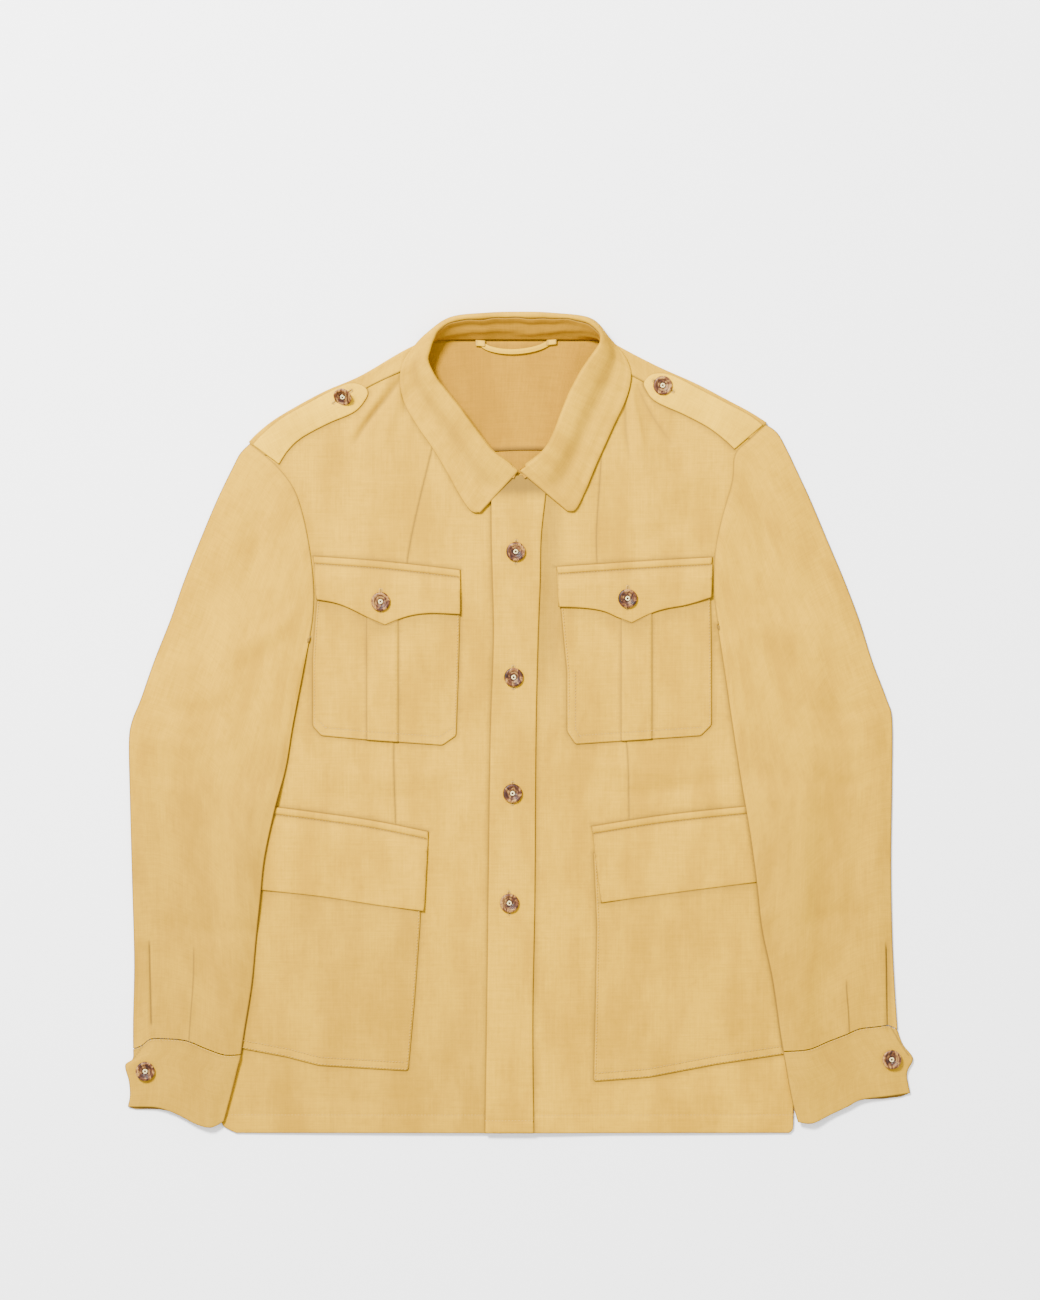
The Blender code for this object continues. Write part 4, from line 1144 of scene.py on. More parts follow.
def make_front(side):
    """A front: forward seam, armhole, side, hem, front edge and neck edge, in turn."""
    seam = smooth(place(side, FORWARD_SEAM[side]), 2.5)
    armhole = smooth(place(side, [(out + UNDER_SLEEVE, up) for out, up in ARMHOLE_FRONT[side]]), 3)
    seam[0] = armhole[0]
    lower = smooth(place(side, ARMHOLE_LOWER[side]), 4)[::-1]
    lower = lower[distance(lower[:, 0], lower[:, 1], armhole) > UNDER_SLEEVE]
    side_edge = smooth(place(side, BODY_SIDE[side]), 3.5)
    corner = smooth(place(side, HEM_CORNER[side]), 2)
    if side == LEFT:
        front_edge = cornered([(low, up) for up, low, _ in reversed(PLACKET)]
                              + [(PLACKET[0][1], NECK_POINT)], 4)
    else:
        front_edge = cornered([(UNDERLAP, HEM), (UNDERLAP, NECK_POINT)], 4)
    hem = np.linspace(corner[-1], front_edge[0], int(abs(corner[-1][0] - front_edge[0][0]) / 3))
    neck = smooth(place(side, [(row[0], row[1]) for row in COLLAR[side][1:NECK_ROWS + 1]]), 4)
    outline = ring_of(armhole, lower, side_edge, corner, hem, front_edge, neck, seam[::-1])
    dart = smooth(place(side, FRONT_DART[side]), 1.6)
    hem_line = np.array([(x, HEM + HEM_DEPTH) for x in np.arange(outline[:, 0].min() + 4,
                                                                  outline[:, 0].max() - 4, 2.0)])
    over = edges_over(side)
    sharp = [(height, smooth(points, 2)) for height, width, points in BODY_CREASES
             if width <= SHARP and points[0][0] * side > 0]

    def surface(x, y, away):
        """The dart's seam is a step with a sharp foot, and the hem a pressed double edge."""
        off_dart, dart_side, along = measure(x, y, dart)
        seam_fade = ramp(along, 0.0, 0.05) * ramp(along, 1.0, 0.9)
        step = 0.45 * np.exp(-np.maximum(off_dart, 0) / 3.5) * (dart_side * side > 0) * seam_fade
        cut = 0.35 * bell(off_dart, 0.8) * seam_fade
        z = front_top(side, x, y) + step - cut + groove(x, y, hem_line, *HEM_PRESS) + rounded(away)
        z = z + 0.25 * ramp(y, HEM + HEM_DEPTH + 1, HEM + HEM_DEPTH - 3)
        # Painted shade in the dart's seam, along the edges, under the edges of the pieces above and in the
        # narrow troughs
        painted_shade = np.maximum(0.85 * bell(off_dart, 0.9) * seam_fade, 0.7 * ramp(away, 1.0, 0))
        shadow = shade_beneath(x, y, over)
        # On the left front a painted shade beside the placket's fold; the right front grows darker towards
        # the hem
        tone = 0.42 * ramp(x, 46, 33) * ramp(y, -20, 90) if side == LEFT else 0.2 * ramp(y, -150, -340)
        shadow = strongest(shadow, tone)
        for height, line in sharp:
            off_fold, _, along_fold = measure(x, y, line)
            if height < 0:
                shadow = strongest(shadow, 0.5 * bell(off_fold, 1.6) * np.sin(pi * along_fold) ** 0.6)
        return z, strongest(painted_shade, shadow)

    rows = [line for guide in (dart, hem_line) for line in beside(guide, *BESIDE_SEAM)]
    rows += [line for guide in over for line in beside(guide, *BESIDE_EDGE)]
    rows += [line for _, guide in sharp for line in beside(guide, *BESIDE_FOLD)]
    front = cut_sheet("front_panel_" + SIDE_NAMES[side], outline, surface, CLOTH, KHAKI, spacing=3.6,
                      rows=rows)
    dress(front, "front_" + SIDE_NAMES[side], *CUTS["front_" + SIDE_NAMES[side]],
          rests_on=["back_panel" if side == RIGHT else "front_panel_right"])
    SEWN["hem"].append(on_cloth(surface, hem_line, 0.05))


def make_placket():
    left_edge = smooth([(-24, 238)] + [(low, up) for up, low, _ in PLACKET], 2.5)
    right_edge = smooth([(24, 238)] + [(high, up) for up, _, high in PLACKET], 2.5)
    top = smooth([right_edge[0], (12, 234), (0, 232.5), (-12, 234), left_edge[0]], 3)
    bottom = np.linspace(left_edge[-1], right_edge[-1], 14)
    outline = ring_of(left_edge, bottom, right_edge[::-1], top)
    hem_line = np.array([(x, HEM + PLACKET_HEM) for x in np.arange(-31, 13.5, 1.5)])
    slots = [np.array([(x + lean * t, y - 11 + 22 * t) for t in np.linspace(0, 1, 18)])
             for (x, y), lean in zip(FRONT_BUTTONS, (0.6, -0.4, 0.3, -0.5))]

    def surface(x, y, away):
        buckle = creases(x, y, PLACKET_CREASES)
        z = placket_top(x, y) + rounded(away, *PLACKET_ROUND) + buckle * ramp(away, 0, 8)
        z = z + groove(x, y, hem_line, *PLACKET_HEM_PRESS)
        # Painted shade along the edges and in the slots, and a painted shadow of the collar over the
        # placket's top
        painted_shade = strongest(0.75 * ramp(away, 0.9, 0), 0.9 * ramp(y, 208, 221))
        for slot in slots:
            sunk, dark = slot_marks(x, y, slot, PLACKET_SLOT_PRESS)
            z, painted_shade = z + sunk, strongest(painted_shade, dark)
        return z, painted_shade

    rows = [line for slot in slots for line in beside(slot, *BESIDE_SLOT)]
    rows += beside(hem_line, *BESIDE_STITCHES)
    placket = cut_sheet("front_placket", outline, surface, DOUBLE, KHAKI, spacing=2.4, rows=rows)
    dress(placket, "placket", *CUTS["placket"], rests_on=["front_panel_left"])
    SEWN["hem"].append(on_cloth(surface, hem_line, 0.05))
    for slot in slots:
        sew_buttonhole(surface, slot)


def slot_marks(x, y, slot, press=SLOT_PRESS):
    """What a buttonhole does to the cloth's height, and its shade."""
    return groove(x, y, slot, *press), bell(distance(x, y, slot), SLOT_SHADE)


def sew_buttonhole(surface, slot):
    """Adds the closed path round a slot that its satin stitches follow."""
    left, right = beside(slot, SLOT_HALF_WIDTH, -SLOT_HALF_WIDTH)
    SATIN.append(on_cloth(surface, np.vstack([left, right[::-1], left[:1]]), 0.0))


def make_epaulette(side):
    name = SIDE_NAMES[side]
    edge = smooth(place(side, EPAULETTE[side]), 1.6)
    end = np.linspace(edge[-1], edge[0], 20)
    outline = ring_of(edge, end)
    x0, y0 = side * SHOULDER_BUTTON[side][0], SHOULDER_BUTTON[side][1]
    middle = outline.mean(axis=0)
    along = (np.array([x0, y0]) - middle) / np.linalg.norm(np.array([x0, y0]) - middle)
    slot = np.array([(x0, y0) + along * t for t in np.linspace(-12, 10, 16)])

    def surface(x, y, away):
        z = front_top(side, x, y) + GAP + DOUBLE + rounded(away, *STRAP_ROUND)
        sunk, dark = slot_marks(x, y, slot)
        # Painted shade along its edges and in the buttonhole's slot
        return z + 1.1 * ramp(away, 0.5, 13) + sunk, np.maximum(0.7 * ramp(away, 0.9, 0), dark)

    rows = beside(slot, *BESIDE_SLOT)
    # Cut from the lighter copy of the linen: painted light on the raised strap
    strap = cut_sheet("shoulder_strap_" + name, outline, surface, DOUBLE, KHAKI_LIT, spacing=2.2, rows=rows,
                      turn=side * 27)
    dress(strap, "epaulette_" + name, *CUTS["epaulette"], rests_on=["shoulder_yoke", "front_panel_" + name])
    sew_buttonhole(surface, slot)


def make_chest_pocket(side):
    name = SIDE_NAMES[side]
    first, last = PLEAT_LINES[side]
    outline = ring_of(cornered(place(side, CHEST_POCKET[side] + CHEST_POCKET[side][:1]), 2.0, 1.5))
    hem_line = beside(cornered(place(side, CHEST_POCKET[side][2:-3]), 1.6, 1.5), side * BAG_HEM)[0]
    bag_edge = cornered(place(side, CHEST_POCKET[side]), 1.6, 1.5)
    edge_line = beside(bag_edge, side * EDGE_STITCH)[0]
    low, high = min(y for _, y in CHEST_POCKET[side]), max(y for _, y in CHEST_POCKET[side])
    flap_edge = smooth(place(side, CHEST_FLAP_LOW[side]), 2.5)
    sleeve_edge = smooth(place(side, SLEEVE_INNER[side]), 2.5)
    folds = [np.array([(side * out, y) for y in np.arange(low, high, 2.0)])
             for out in (first, first + PLEAT_STEP, last - PLEAT_STEP, last)]

    def surface(x, y, away):
        out = side * x
        puff = 0.9 * ramp(away, 2, 26) * ramp(y, low + 2, low + 60)
        z = chest_pocket_top(side, x, y) + puff + rounded(away, *BAG_ROUND)
        z = z + groove(x, y, hem_line, *BAG_HEM_PRESS) + groove(x, y, edge_line, *BAG_EDGE_PRESS)
        z = z + 0.3 * bell(np.minimum(np.abs(out - first - 1.6), np.abs(out - last + 1.6)), 1.3)
        # Painted shade in the pleat's feet, along the edges and hem stitches, under the flap's and sleeve's
        # edges, and a broad painted shadow below the flap
        foot = np.minimum(np.abs(out - first + 0.2), np.abs(out - last - 0.2))
        under = shade_beneath(x, y, [flap_edge, sleeve_edge])
        shade = 0.3 * bell(distance(x, y, flap_edge), 12)
        return z, strongest(0.75 * ramp(away, 0.9, 0), 0.9 * bell(foot, 0.7), under, shade,
                            0.3 * bell(distance(x, y, hem_line), 0.8))

    rows = folds + beside(folds[0], -0.8, 0.8) + beside(folds[3], -0.8, 0.8)
    rows += beside(flap_edge, *BESIDE_EDGE) + beside(sleeve_edge, *BESIDE_EDGE)
    rows += beside(hem_line, *BESIDE_STITCHES)
    bag = cut_sheet("chest_bag_" + name, outline, surface, CLOTH, KHAKI, spacing=2.6, rows=rows)
    dress(bag, "chest_pocket_" + name, *CUTS["chest_pocket"], rests_on=["front_panel_" + name])
    outs = [abs(x) for x in outline[:, 0]]
    inner_hem = [p for p in hem_line if min(outs) + BAG_HEM < abs(p[0]) < max(outs) - BAG_HEM]
    SEWN["pocket"] += [on_cloth(surface, edge_line), on_cloth(surface, inner_hem)]

    top_line = CHEST_FLAP_TOP[side]
    lower = CHEST_FLAP_LOW[side]
    point = FLAP_POINT[side]
    top_edge = smooth(place(side, top_line), 1.5)
    low_edge = np.vstack([smooth(place(side, lower[:point + 1]), 1.5),
                          smooth(place(side, lower[point:]), 1.5)[1:]])[::-1]
    flap_outline = ring_of(cornered(top_edge, 1.5, 0.1), low_edge)
    make_flap(side, "chest", top_line, top_edge, flap_outline, CLOTH + PLEAT + GAP, CHEST_BUTTON[side])


def make_flap(side, place_name, top_line, top_edge, outline, lift, button=None):
    """A flap, sewn on upside down, turned down and stitched again below its fold, which makes a thick
    rounded band along its top."""
    name = SIDE_NAMES[side]
    inward = -side
    band_line = beside(top_edge, inward * BAND)[0]
    sleeve_edge = smooth(place(side, SLEEVE_INNER[side]), 2.5)
    slot = None
    if button:
        x0, y0 = side * button[0], button[1]
        slot = np.array([(x0 + 0.3 * t, y0 - 10 + 22 * t) for t in np.linspace(0, 1, 18)])

    def surface(x, y, away):
        down = distance(x, y, top_edge)
        z = flap_top(side, top_line, lift, x, y) + rounded(away, *BAG_ROUND)
        band = np.clip(1 - ((down - BAND / 2) / (BAND / 2)) ** 2, 0, 1) ** 0.5
        z = z + 1.35 * band - 0.45 * bell(down - BAND, 0.9)
        # Painted shade along the edges, in the groove below the band and under the sleeve's edge
        painted_shade = np.maximum(0.7 * ramp(away, 0.9, 0), 0.75 * bell(down - BAND - 0.3, 1.0))
        painted_shade = strongest(painted_shade, shade_beneath(x, y, [sleeve_edge]))
        if slot is not None:
            sunk, dark = slot_marks(x, y, slot)
            z, painted_shade = z + sunk, np.maximum(painted_shade, dark)
        return z, painted_shade

    rows = beside(top_edge, *[inward * d for d in ALONG_BAND])
    if slot is not None:
        rows += beside(slot, *BESIDE_SLOT)
    flap = cut_sheet(f"{place_name}_flap_cloth_{name}", outline, surface, DOUBLE, KHAKI, spacing=2.4,
                     rows=rows)
    node = f"{place_name}_flap_{name}"
    dress(flap, node, *CUTS[place_name + "_flap"], rests_on=[f"{place_name}_bag_{name}"])
    SEWN["pocket"].append(on_cloth(surface, band_line[2:-2], 0.05))
    if slot is not None:
        sew_buttonhole(surface, slot)


def make_lower_pocket(side):
    name = SIDE_NAMES[side]
    outline = ring_of(cornered(place(side, LOWER_POCKET[side] + LOWER_POCKET[side][:1]), 2.4, 2.0))
    bottom = cornered(place(side, LOWER_POCKET[side][3:7]), 2.0, 2.0)
    hem_line = beside(bottom, side * BAG_HEM)[0]
    edge_line = beside(cornered(place(side, LOWER_POCKET[side][:7]), 2.0, 2.0), side * EDGE_STITCH)[0]
    flap_edge = smooth(place(side, LOWER_FLAP_LOW[side]), 3)
    sleeve_edge = smooth(place(side, SLEEVE_INNER[side]), 3)

    def surface(x, y, away):
        puff = 1.0 * ramp(away, 2, 34) + creases(x, y, POCKET_CREASES, side) * ramp(away, 2, 16)
        z = pocket_top(side, x, y) + puff + rounded(away, *BAG_ROUND)
        z = z + groove(x, y, hem_line, *BAG_HEM_PRESS) + groove(x, y, edge_line, *BAG_EDGE_PRESS)
        # Painted shade along the edges and hem stitches, under the flap's and sleeve's edges, and a painted
        # shadow below the flap; both bags a little darker all over, the right more
        under = shade_beneath(x, y, [flap_edge, sleeve_edge])
        shade = 0.34 * bell(distance(x, y, flap_edge), 6)
        tone = 0.17 if side == RIGHT else 0.06
        return z, strongest(0.75 * ramp(away, 0.9, 0), under, shade, tone,
                            0.3 * bell(distance(x, y, hem_line), 0.8))

    rows = (beside(hem_line, *BESIDE_STITCHES) + beside(flap_edge, *BESIDE_EDGE)
            + beside(sleeve_edge, *BESIDE_EDGE))
    bag = cut_sheet("lower_bag_" + name, outline, surface, CLOTH, KHAKI, spacing=3.4, rows=rows)
    dress(bag, "lower_pocket_" + name, *CUTS["lower_pocket"], rests_on=["front_panel_" + name])
    SEWN["pocket"] += [on_cloth(surface, hem_line[3:-1]), on_cloth(surface, edge_line)]
    top_line = LOWER_FLAP_TOP[side]
    top_edge = smooth(place(side, top_line), 1.6)
    low_edge = smooth(place(side, LOWER_FLAP_LOW[side]), 2.0)[::-1]
    flap_outline = ring_of(top_edge, low_edge)
    make_flap(side, "lower", top_line, top_edge, flap_outline, CLOTH + GAP)


# Collar

def fine_ended(count, *near):
    """Shares from 0 to 1: even ones, and close ones at both ends."""
    near = np.array(near)
    even = np.linspace(2 * near[-1], 1 - 2 * near[-1], count)
    return np.concatenate([[0], near, even, 1 - near[::-1], [1]])


def collar_lines(across):
    """Foot, roll line and leaf edge round the neck, from the right front end to the left one."""
    rows = [(side * n_out, n_up, side * r_out, r_up, height, side * l_out, l_up, from_front)
            for side in (RIGHT, LEFT)
            for from_front, (n_out, n_up, r_out, r_up, height, l_out, l_up) in enumerate(COLLAR[side])]
    right, left = rows[:len(COLLAR[RIGHT])], rows[len(COLLAR[RIGHT]):]
    stations = right + [(*COLLAR_BACK, len(right))] + left[::-1]
    fine = smooth(stations, shares=across)
    neck, roll, leaf, from_front = fine[:, 0:2], fine[:, 2:5], fine[:, 5:7], fine[:, 7]
    toward = neck - NECK_MIDDLE
    toward /= np.linalg.norm(toward, axis=1)[:, None]
    behind = ramp(from_front, NECK_ROWS + 1, NECK_ROWS + 2.5)[:, None]
    spot = neck + FOOT_INSET * toward * (1 - behind) + np.array([0, NECK_RAISED]) * behind
    under = chest_top(spot[:, 0], spot[:, 1]) * (1 - behind[:, 0]) + CLOTH * behind[:, 0]
    foot = np.column_stack([spot, under + GAP + FOOT_LIFT * DOUBLE])
    on_front = ramp(from_front, NECK_ROWS + 4, NECK_ROWS + 3)
    edge_height = (chest_top(leaf[:, 0], leaf[:, 1]) + GAP + DOUBLE) * on_front + LEAF_BEHIND * (1 - on_front)
    return foot, roll, np.column_stack([leaf, edge_height])


def make_collar():
    across = fine_ended(COLLAR_COLUMNS, 0.0006, 0.0018)
    columns = len(across)
    foot, roll, end = collar_lines(across)
    wander = 0.025 * np.sin(across * 61) + 0.02 * np.sin(across * 143 + 1)
    seam = roll + (foot - roll) * (SEAM_UNDER_ROLL + wander)[:, None]

    rows = np.linspace(0, 1, 22)[:, None, None]
    top = seam + (foot - seam) / np.linalg.norm(foot - seam, axis=1)[:, None] * STAND_GAP
    stand = foot + (top - foot) * rows
    inward = np.column_stack([NECK_MIDDLE - foot[:, :2], np.full(columns, 12.0)])
    inward /= np.linalg.norm(inward, axis=1)[:, None]
    v = rows[:, :, 0] * np.ones((1, columns))
    u = across * np.ones_like(v)
    ripple = np.zeros_like(v)
    for height, width, points in STAND_CREASES:
        ripple = ripple + crease(u * COLLAR_LENGTH, v * STAND_HEIGHT, smooth(points, 6), height, width)
    stand = stand + inward * (ripple * np.sin(pi * v))[:, :, None]
    grain = np.dstack([u * COLLAR_LENGTH, v * STAND_HEIGHT])
    # Painted shade along the band's foot
    shade = 0.5 * (v < 0.03)
    # The band uses the darker copy of the linen: painted shade inside the neck
    band = loft_mesh("collar_band", stand.transpose(1, 0, 2), DOUBLE, KHAKI_INSIDE_SHADE, grain.transpose(1, 0, 2),
                     flip=True, shade=shade.T)
    dress(band, "collar_stand", *CUTS["collar_stand"], rests_on=["front_panel_right", "front_panel_left",
                                                                 "shoulder_yoke"])

    away = end - roll
    away[:, 2] = 0
    reach = np.linalg.norm(away, axis=1)
    away /= reach[:, None]
    over = ramp(reach, *TURN_REACH)
    first = roll + away * np.maximum(0.3 * reach, LEAF_ROUND)[:, None]
    second = end - away * (0.4 * reach * over)[:, None]
    second[:, 2] += (1 - over) * 0.5 * (roll[:, 2] - end[:, 2])
    crest = [seam, seam + (roll - seam) * 0.7, roll + (seam - roll) * 0.08 + away * 0.3]
    fall = [(1 - t) ** 3 * roll + 3 * (1 - t) ** 2 * t * first + 3 * (1 - t) * t * t * second + t ** 3 * end
            for t in (0.08, 0.18, 0.32, 0.48, 0.64, 0.8, 0.92, 1.0)]
    path = np.stack(crest + fall)
    shares = np.concatenate([np.linspace(0, 0.94, 38), np.linspace(0.955, 1, 7)])
    sheet = smooth(path.reshape(len(path), -1), shares=shares).reshape(len(shares), columns, 3)
    t = shares[:, None] * np.ones((1, columns))
    end_gap = np.minimum(across, 1 - across) * COLLAR_LENGTH
    long_leaf = (ramp(reach, 18, 34) * ramp(end_gap, 1, 16))[None, :]
    valley = -2.4 * np.sin(pi * np.clip((t - 0.28) / 0.5, 0, 1)) ** 2 * long_leaf
    lip = 0.45 * bell(t - 0.93, 0.045) * long_leaf
    turned = -0.7 * ramp(t, 0.975, 1.0)
    ends = rounded(end_gap, 1.4, 0.6)[None, :] * np.ones_like(t)
    sheet[:, :, 2] += valley + lip + turned + ends
    for height, width, points in LEAF_CREASES:
        flat = smooth(points, 6)
        sheet[:, :, 2] += crease(sheet[:, :, 0], sheet[:, :, 1], flat, height, width) * ramp(t, 0.2, 0.4)
    grain = np.dstack([across * COLLAR_LENGTH * np.ones_like(t), t * LEAF_WIDTH])
    # Painted shade along the turned edge and the ends, and in the leaf's valley
    middle = np.sin(pi * np.clip((t - 0.15) / 0.6, 0, 1)) ** 2
    shade = strongest(0.8 * ramp(t, 0.985, 1.0), 0.7 * ramp(end_gap, 1.2, 0)[None, :],
                      0.2 * middle * long_leaf)
    leaf = loft_mesh("collar_leaf", sheet.transpose(1, 0, 2), DOUBLE, KHAKI, grain.transpose(1, 0, 2),
                     flip=True, shade=shade.T)
    dress(leaf, "collar_fall", *CUTS["collar_fall"], rests_on=["collar_band", "front_panel_right",
                                                               "front_panel_left"], held="folded")


# Sleeves

def coons(top, bottom, outer, inner, u_rows, v_rows):
    """Points inside four edges. Each edge is a dense line, u_rows holds each row's shares, and v_rows its
    own."""
    rows = []
    for u, v in zip(u_rows, v_rows):
        side_a, side_b = share_steps(outer, [v])[0], share_steps(inner, [v])[0]
        u = np.asarray(u)
        ends = ((1 - v) * share_steps(top, u) + v * share_steps(bottom, u)
                + (1 - u)[:, None] * side_a + u[:, None] * side_b)
        corners = ((1 - u) * (1 - v))[:, None] * top[0] + (u * (1 - v))[:, None] * top[-1]
        corners = corners + ((1 - u) * v)[:, None] * bottom[0] + (u * v)[:, None] * bottom[-1]
        rows.append(ends - corners)
    return np.array(rows)


def share_of(mark, lines, start):
    """Where a mark crosses each line, as a share of it. Beyond the mark's ends it stays as it was."""
    shares = np.full(len(lines), start)
    for j in range(1, len(lines)):
        away = distance(lines[j][:, 0], lines[j][:, 1], mark)
        shares[j] = np.argmin(away) / (len(away) - 1) if away.min() < MARK_REACH else shares[j - 1]
    first = int(np.argmax(np.abs(np.diff(shares)) > 0)) + 1
    shares[:first] = shares[first]
    return np.convolve(np.pad(shares, 6, mode="edge"), np.ones(13) / 13, mode="valid")


def tube_shares(width, marks, counts):
    """Shares across a tube: close at its folded edges and at the marks, even between them."""
    edge = np.array([0, 0.25, 0.7, 1.4, 2.4, 4.0]) / width
    near = np.array([-1.6, -0.7, -0.2, 0.2, 0.7, 1.6]) / width
    parts = [edge]
    start = edge[-1]
    for mark, count in zip(marks, counts):
        parts.append(np.linspace(start, mark + near[0], count + 2)[1:-1])
        parts.append(mark + near)
        start = mark + near[-1]
    parts.append(np.linspace(start, 1 - edge[-1], counts[-1] + 2)[1:-1])
    parts.append(1 - edge[::-1])
    return np.concatenate(parts)


def tube_height(u, from_edge):
    """How thick a pressed tube is, from its folded edges to its middle."""
    full = SLEEVE_EDGE + SLEEVE_MIDDLE * np.sin(pi * u)
    return FOLD_THICK + (full - FOLD_THICK) * ramp(from_edge, 0, 16)


def fold_curve(away):
    """The round of a folded edge, 0 at the edge and 1 past the fold's reach."""
    return np.sqrt(1 - (1 - np.clip(away / FOLD, 0, 1)) ** 2)


def tube_rows(top, bottom, outer, inner, v_rows):
    """Lines across a tube, one for each row, and how long each of them is."""
    even = [np.linspace(0, 1, 161)] * len(v_rows)
    lines = coons(top, bottom, outer, inner, even, v_rows)
    return lines, np.linalg.norm(np.diff(lines, axis=1), axis=2).sum(axis=1)


def low_shares(width):
    """Shares across the underside of a tube."""
    edge = np.array([0.25, 1.2, 2.4]) / width
    return np.concatenate([edge, np.linspace(0.08, 0.92, 12), 1 - edge[::-1]])


def close_tube(side, upper, under, low_u, widths):
    """Joins a tube's upper face to its underside, and says how far that lies from the folded edges."""
    x, y = side * under[:, :, 0], under[:, :, 1]
    from_edge = np.minimum(low_u, 1 - low_u) * widths[:, None]
    half = FOLD_THICK / 2
    z = sleeve_under(side, x, y) + half - half * fold_curve(from_edge)
    return np.concatenate([upper, np.dstack([x, y, z])[:, ::-1]], axis=1), from_edge


def tube_grain(u, low_u, widths, reach):
    """The cloth's grain round a tube, in millimetres."""
    across = np.concatenate([u * widths[:, None], widths[:, None] * (2 - low_u[:, ::-1])], axis=1)
    return np.dstack([across, reach * np.ones_like(across)])


def make_sleeve(side):
    name = SIDE_NAMES[side]
    head_top = smooth([SHOULDER[side][0]] + ARMHOLE_FRONT[side], 1.0)
    head_low = np.vstack([smooth(ARMHOLE_BACK_TOP[side], 2)[:-1], smooth(ARMHOLE_BACK[side], 2)[:-1],
                          smooth(ARMHOLE_LOWER[side], 2)])
    mouth = smooth(CUFF_SEAM[side], 1.0)
    outer, inner = smooth(SLEEVE_OUTER[side], 2.0), smooth(SLEEVE_INNER[side], 2.0)
    v_rows = fine_ended(145, 0.0005, 0.0016, 0.0035)
    lines, widths = tube_rows(head_top, mouth, outer, inner, v_rows)
    slit_line, pleat_line = smooth(SLEEVE_SLIT[side], 2), smooth(SLEEVE_PLEAT[side], 2)
    slit_u, pleat_u = share_of(slit_line, lines, SLIT_SHARE), share_of(pleat_line, lines, PLEAT_SHARE)
    u = np.array([tube_shares(width, marks, (4, 13, 17)) for width, *marks in zip(widths, slit_u, pleat_u)])
    upper = coons(head_top, mouth, outer, inner, u, v_rows)
    low_u = np.array([low_shares(width) for width in widths])
    under = coons(head_low, mouth, outer, inner, low_u, v_rows)
    under += ramp(v_rows, 0.01, 0)[:, None, None] * np.array([SEAM, -SEAM])

    out, y = upper[:, :, 0], upper[:, :, 1]
    x = side * out
    base = sleeve_under(side, x, y)
    from_edge = np.minimum(u, 1 - u) * widths[:, None]
    height = tube_height(u, from_edge)
    height = height + creases(x, y, SLEEVE_CREASES[side], side) * ramp(from_edge, 0, 10)
    from_head = distance(x, y, mirrored(side, head_top))
    sewn_down = front_top(side, x, y) + CLOTH + 0.15 - base
    at_head = ramp(from_head, 9 + 20 * ramp(y, 150, 100), 0)
    height = height + (np.minimum(sewn_down, height) - height) * at_head
    height = height + 0.5 * bell(from_head - 6, 4)
    off_slit, _, along_slit = measure(x, y, mirrored(side, slit_line))
    opened = ramp(y, -203, -212) * (u < slit_u[:, None]) * ramp(off_slit, 26, 18)
    height = height - SLIT_STEP * opened * ramp(from_edge, 0, 4)
    height = height - 0.9 * bell(off_slit, 0.9) * ramp(along_slit, 0, 0.04)
    off_pleat, _, along_pleat = measure(x, y, mirrored(side, pleat_line))
    raised = np.exp(-np.maximum(off_pleat - 0.4, 0) / 7) * (u > pleat_u[:, None]) * ramp(along_pleat, 0, 0.55)
    height = height + PLEAT_RISE * raised
    half = FOLD_THICK / 2
    z = base + half + (height - half) * fold_curve(from_edge)
    ring, low_edge = close_tube(side, np.dstack([x, y, z]), under, low_u, widths)
    slit_top = SLEEVE_SLIT[side][0]
    bar_line = place(side, [slit_top, (slit_top[0] - 5.5, slit_top[1] - 0.6)])
    # Painted shade in the slit and beside it on its lower side, with a dark bar across its top, under the
    # pleat's fold, along the armhole seam and the folded edges; the sleeve grows darker towards the cuff
    slit_shade = np.maximum(bell(off_slit, 1.2) * (y < slit_top[1]),
                           0.9 * bell(distance(x, y, bar_line), 1.1))
    slit_shade = np.maximum(slit_shade, 0.45 * opened * bell(off_slit, 6))
    pleat_shade = 0.9 * bell(off_pleat, 0.9) * ramp(along_pleat, 0.0, 0.2)
    tone = (0.3 if side == RIGHT else 0.2) * ramp(y, 60, -150)
    shade = strongest(slit_shade, pleat_shade, 0.8 * ramp(from_head, 1.4, 0.2), ramp(from_edge, 1.5, 0.2), tone)
    shade = np.concatenate([shade, 0.8 * ramp(low_edge, 3.0, 0.5)], axis=1)
    grain = tube_grain(u, low_u, widths, v_rows[:, None] * SLEEVE_LENGTH)
    sleeve = loft_mesh("sleeve_cloth_" + name, ring, CLOTH, KHAKI, grain, ring=True, flip=side == LEFT,
                       shade=shade)
    dress(sleeve, "sleeve_" + name, *CUTS["sleeve"], rests_on=["floor", "front_panel_" + name], held="folded")
    return np.column_stack([out[-1], z[-1]])[::-1]


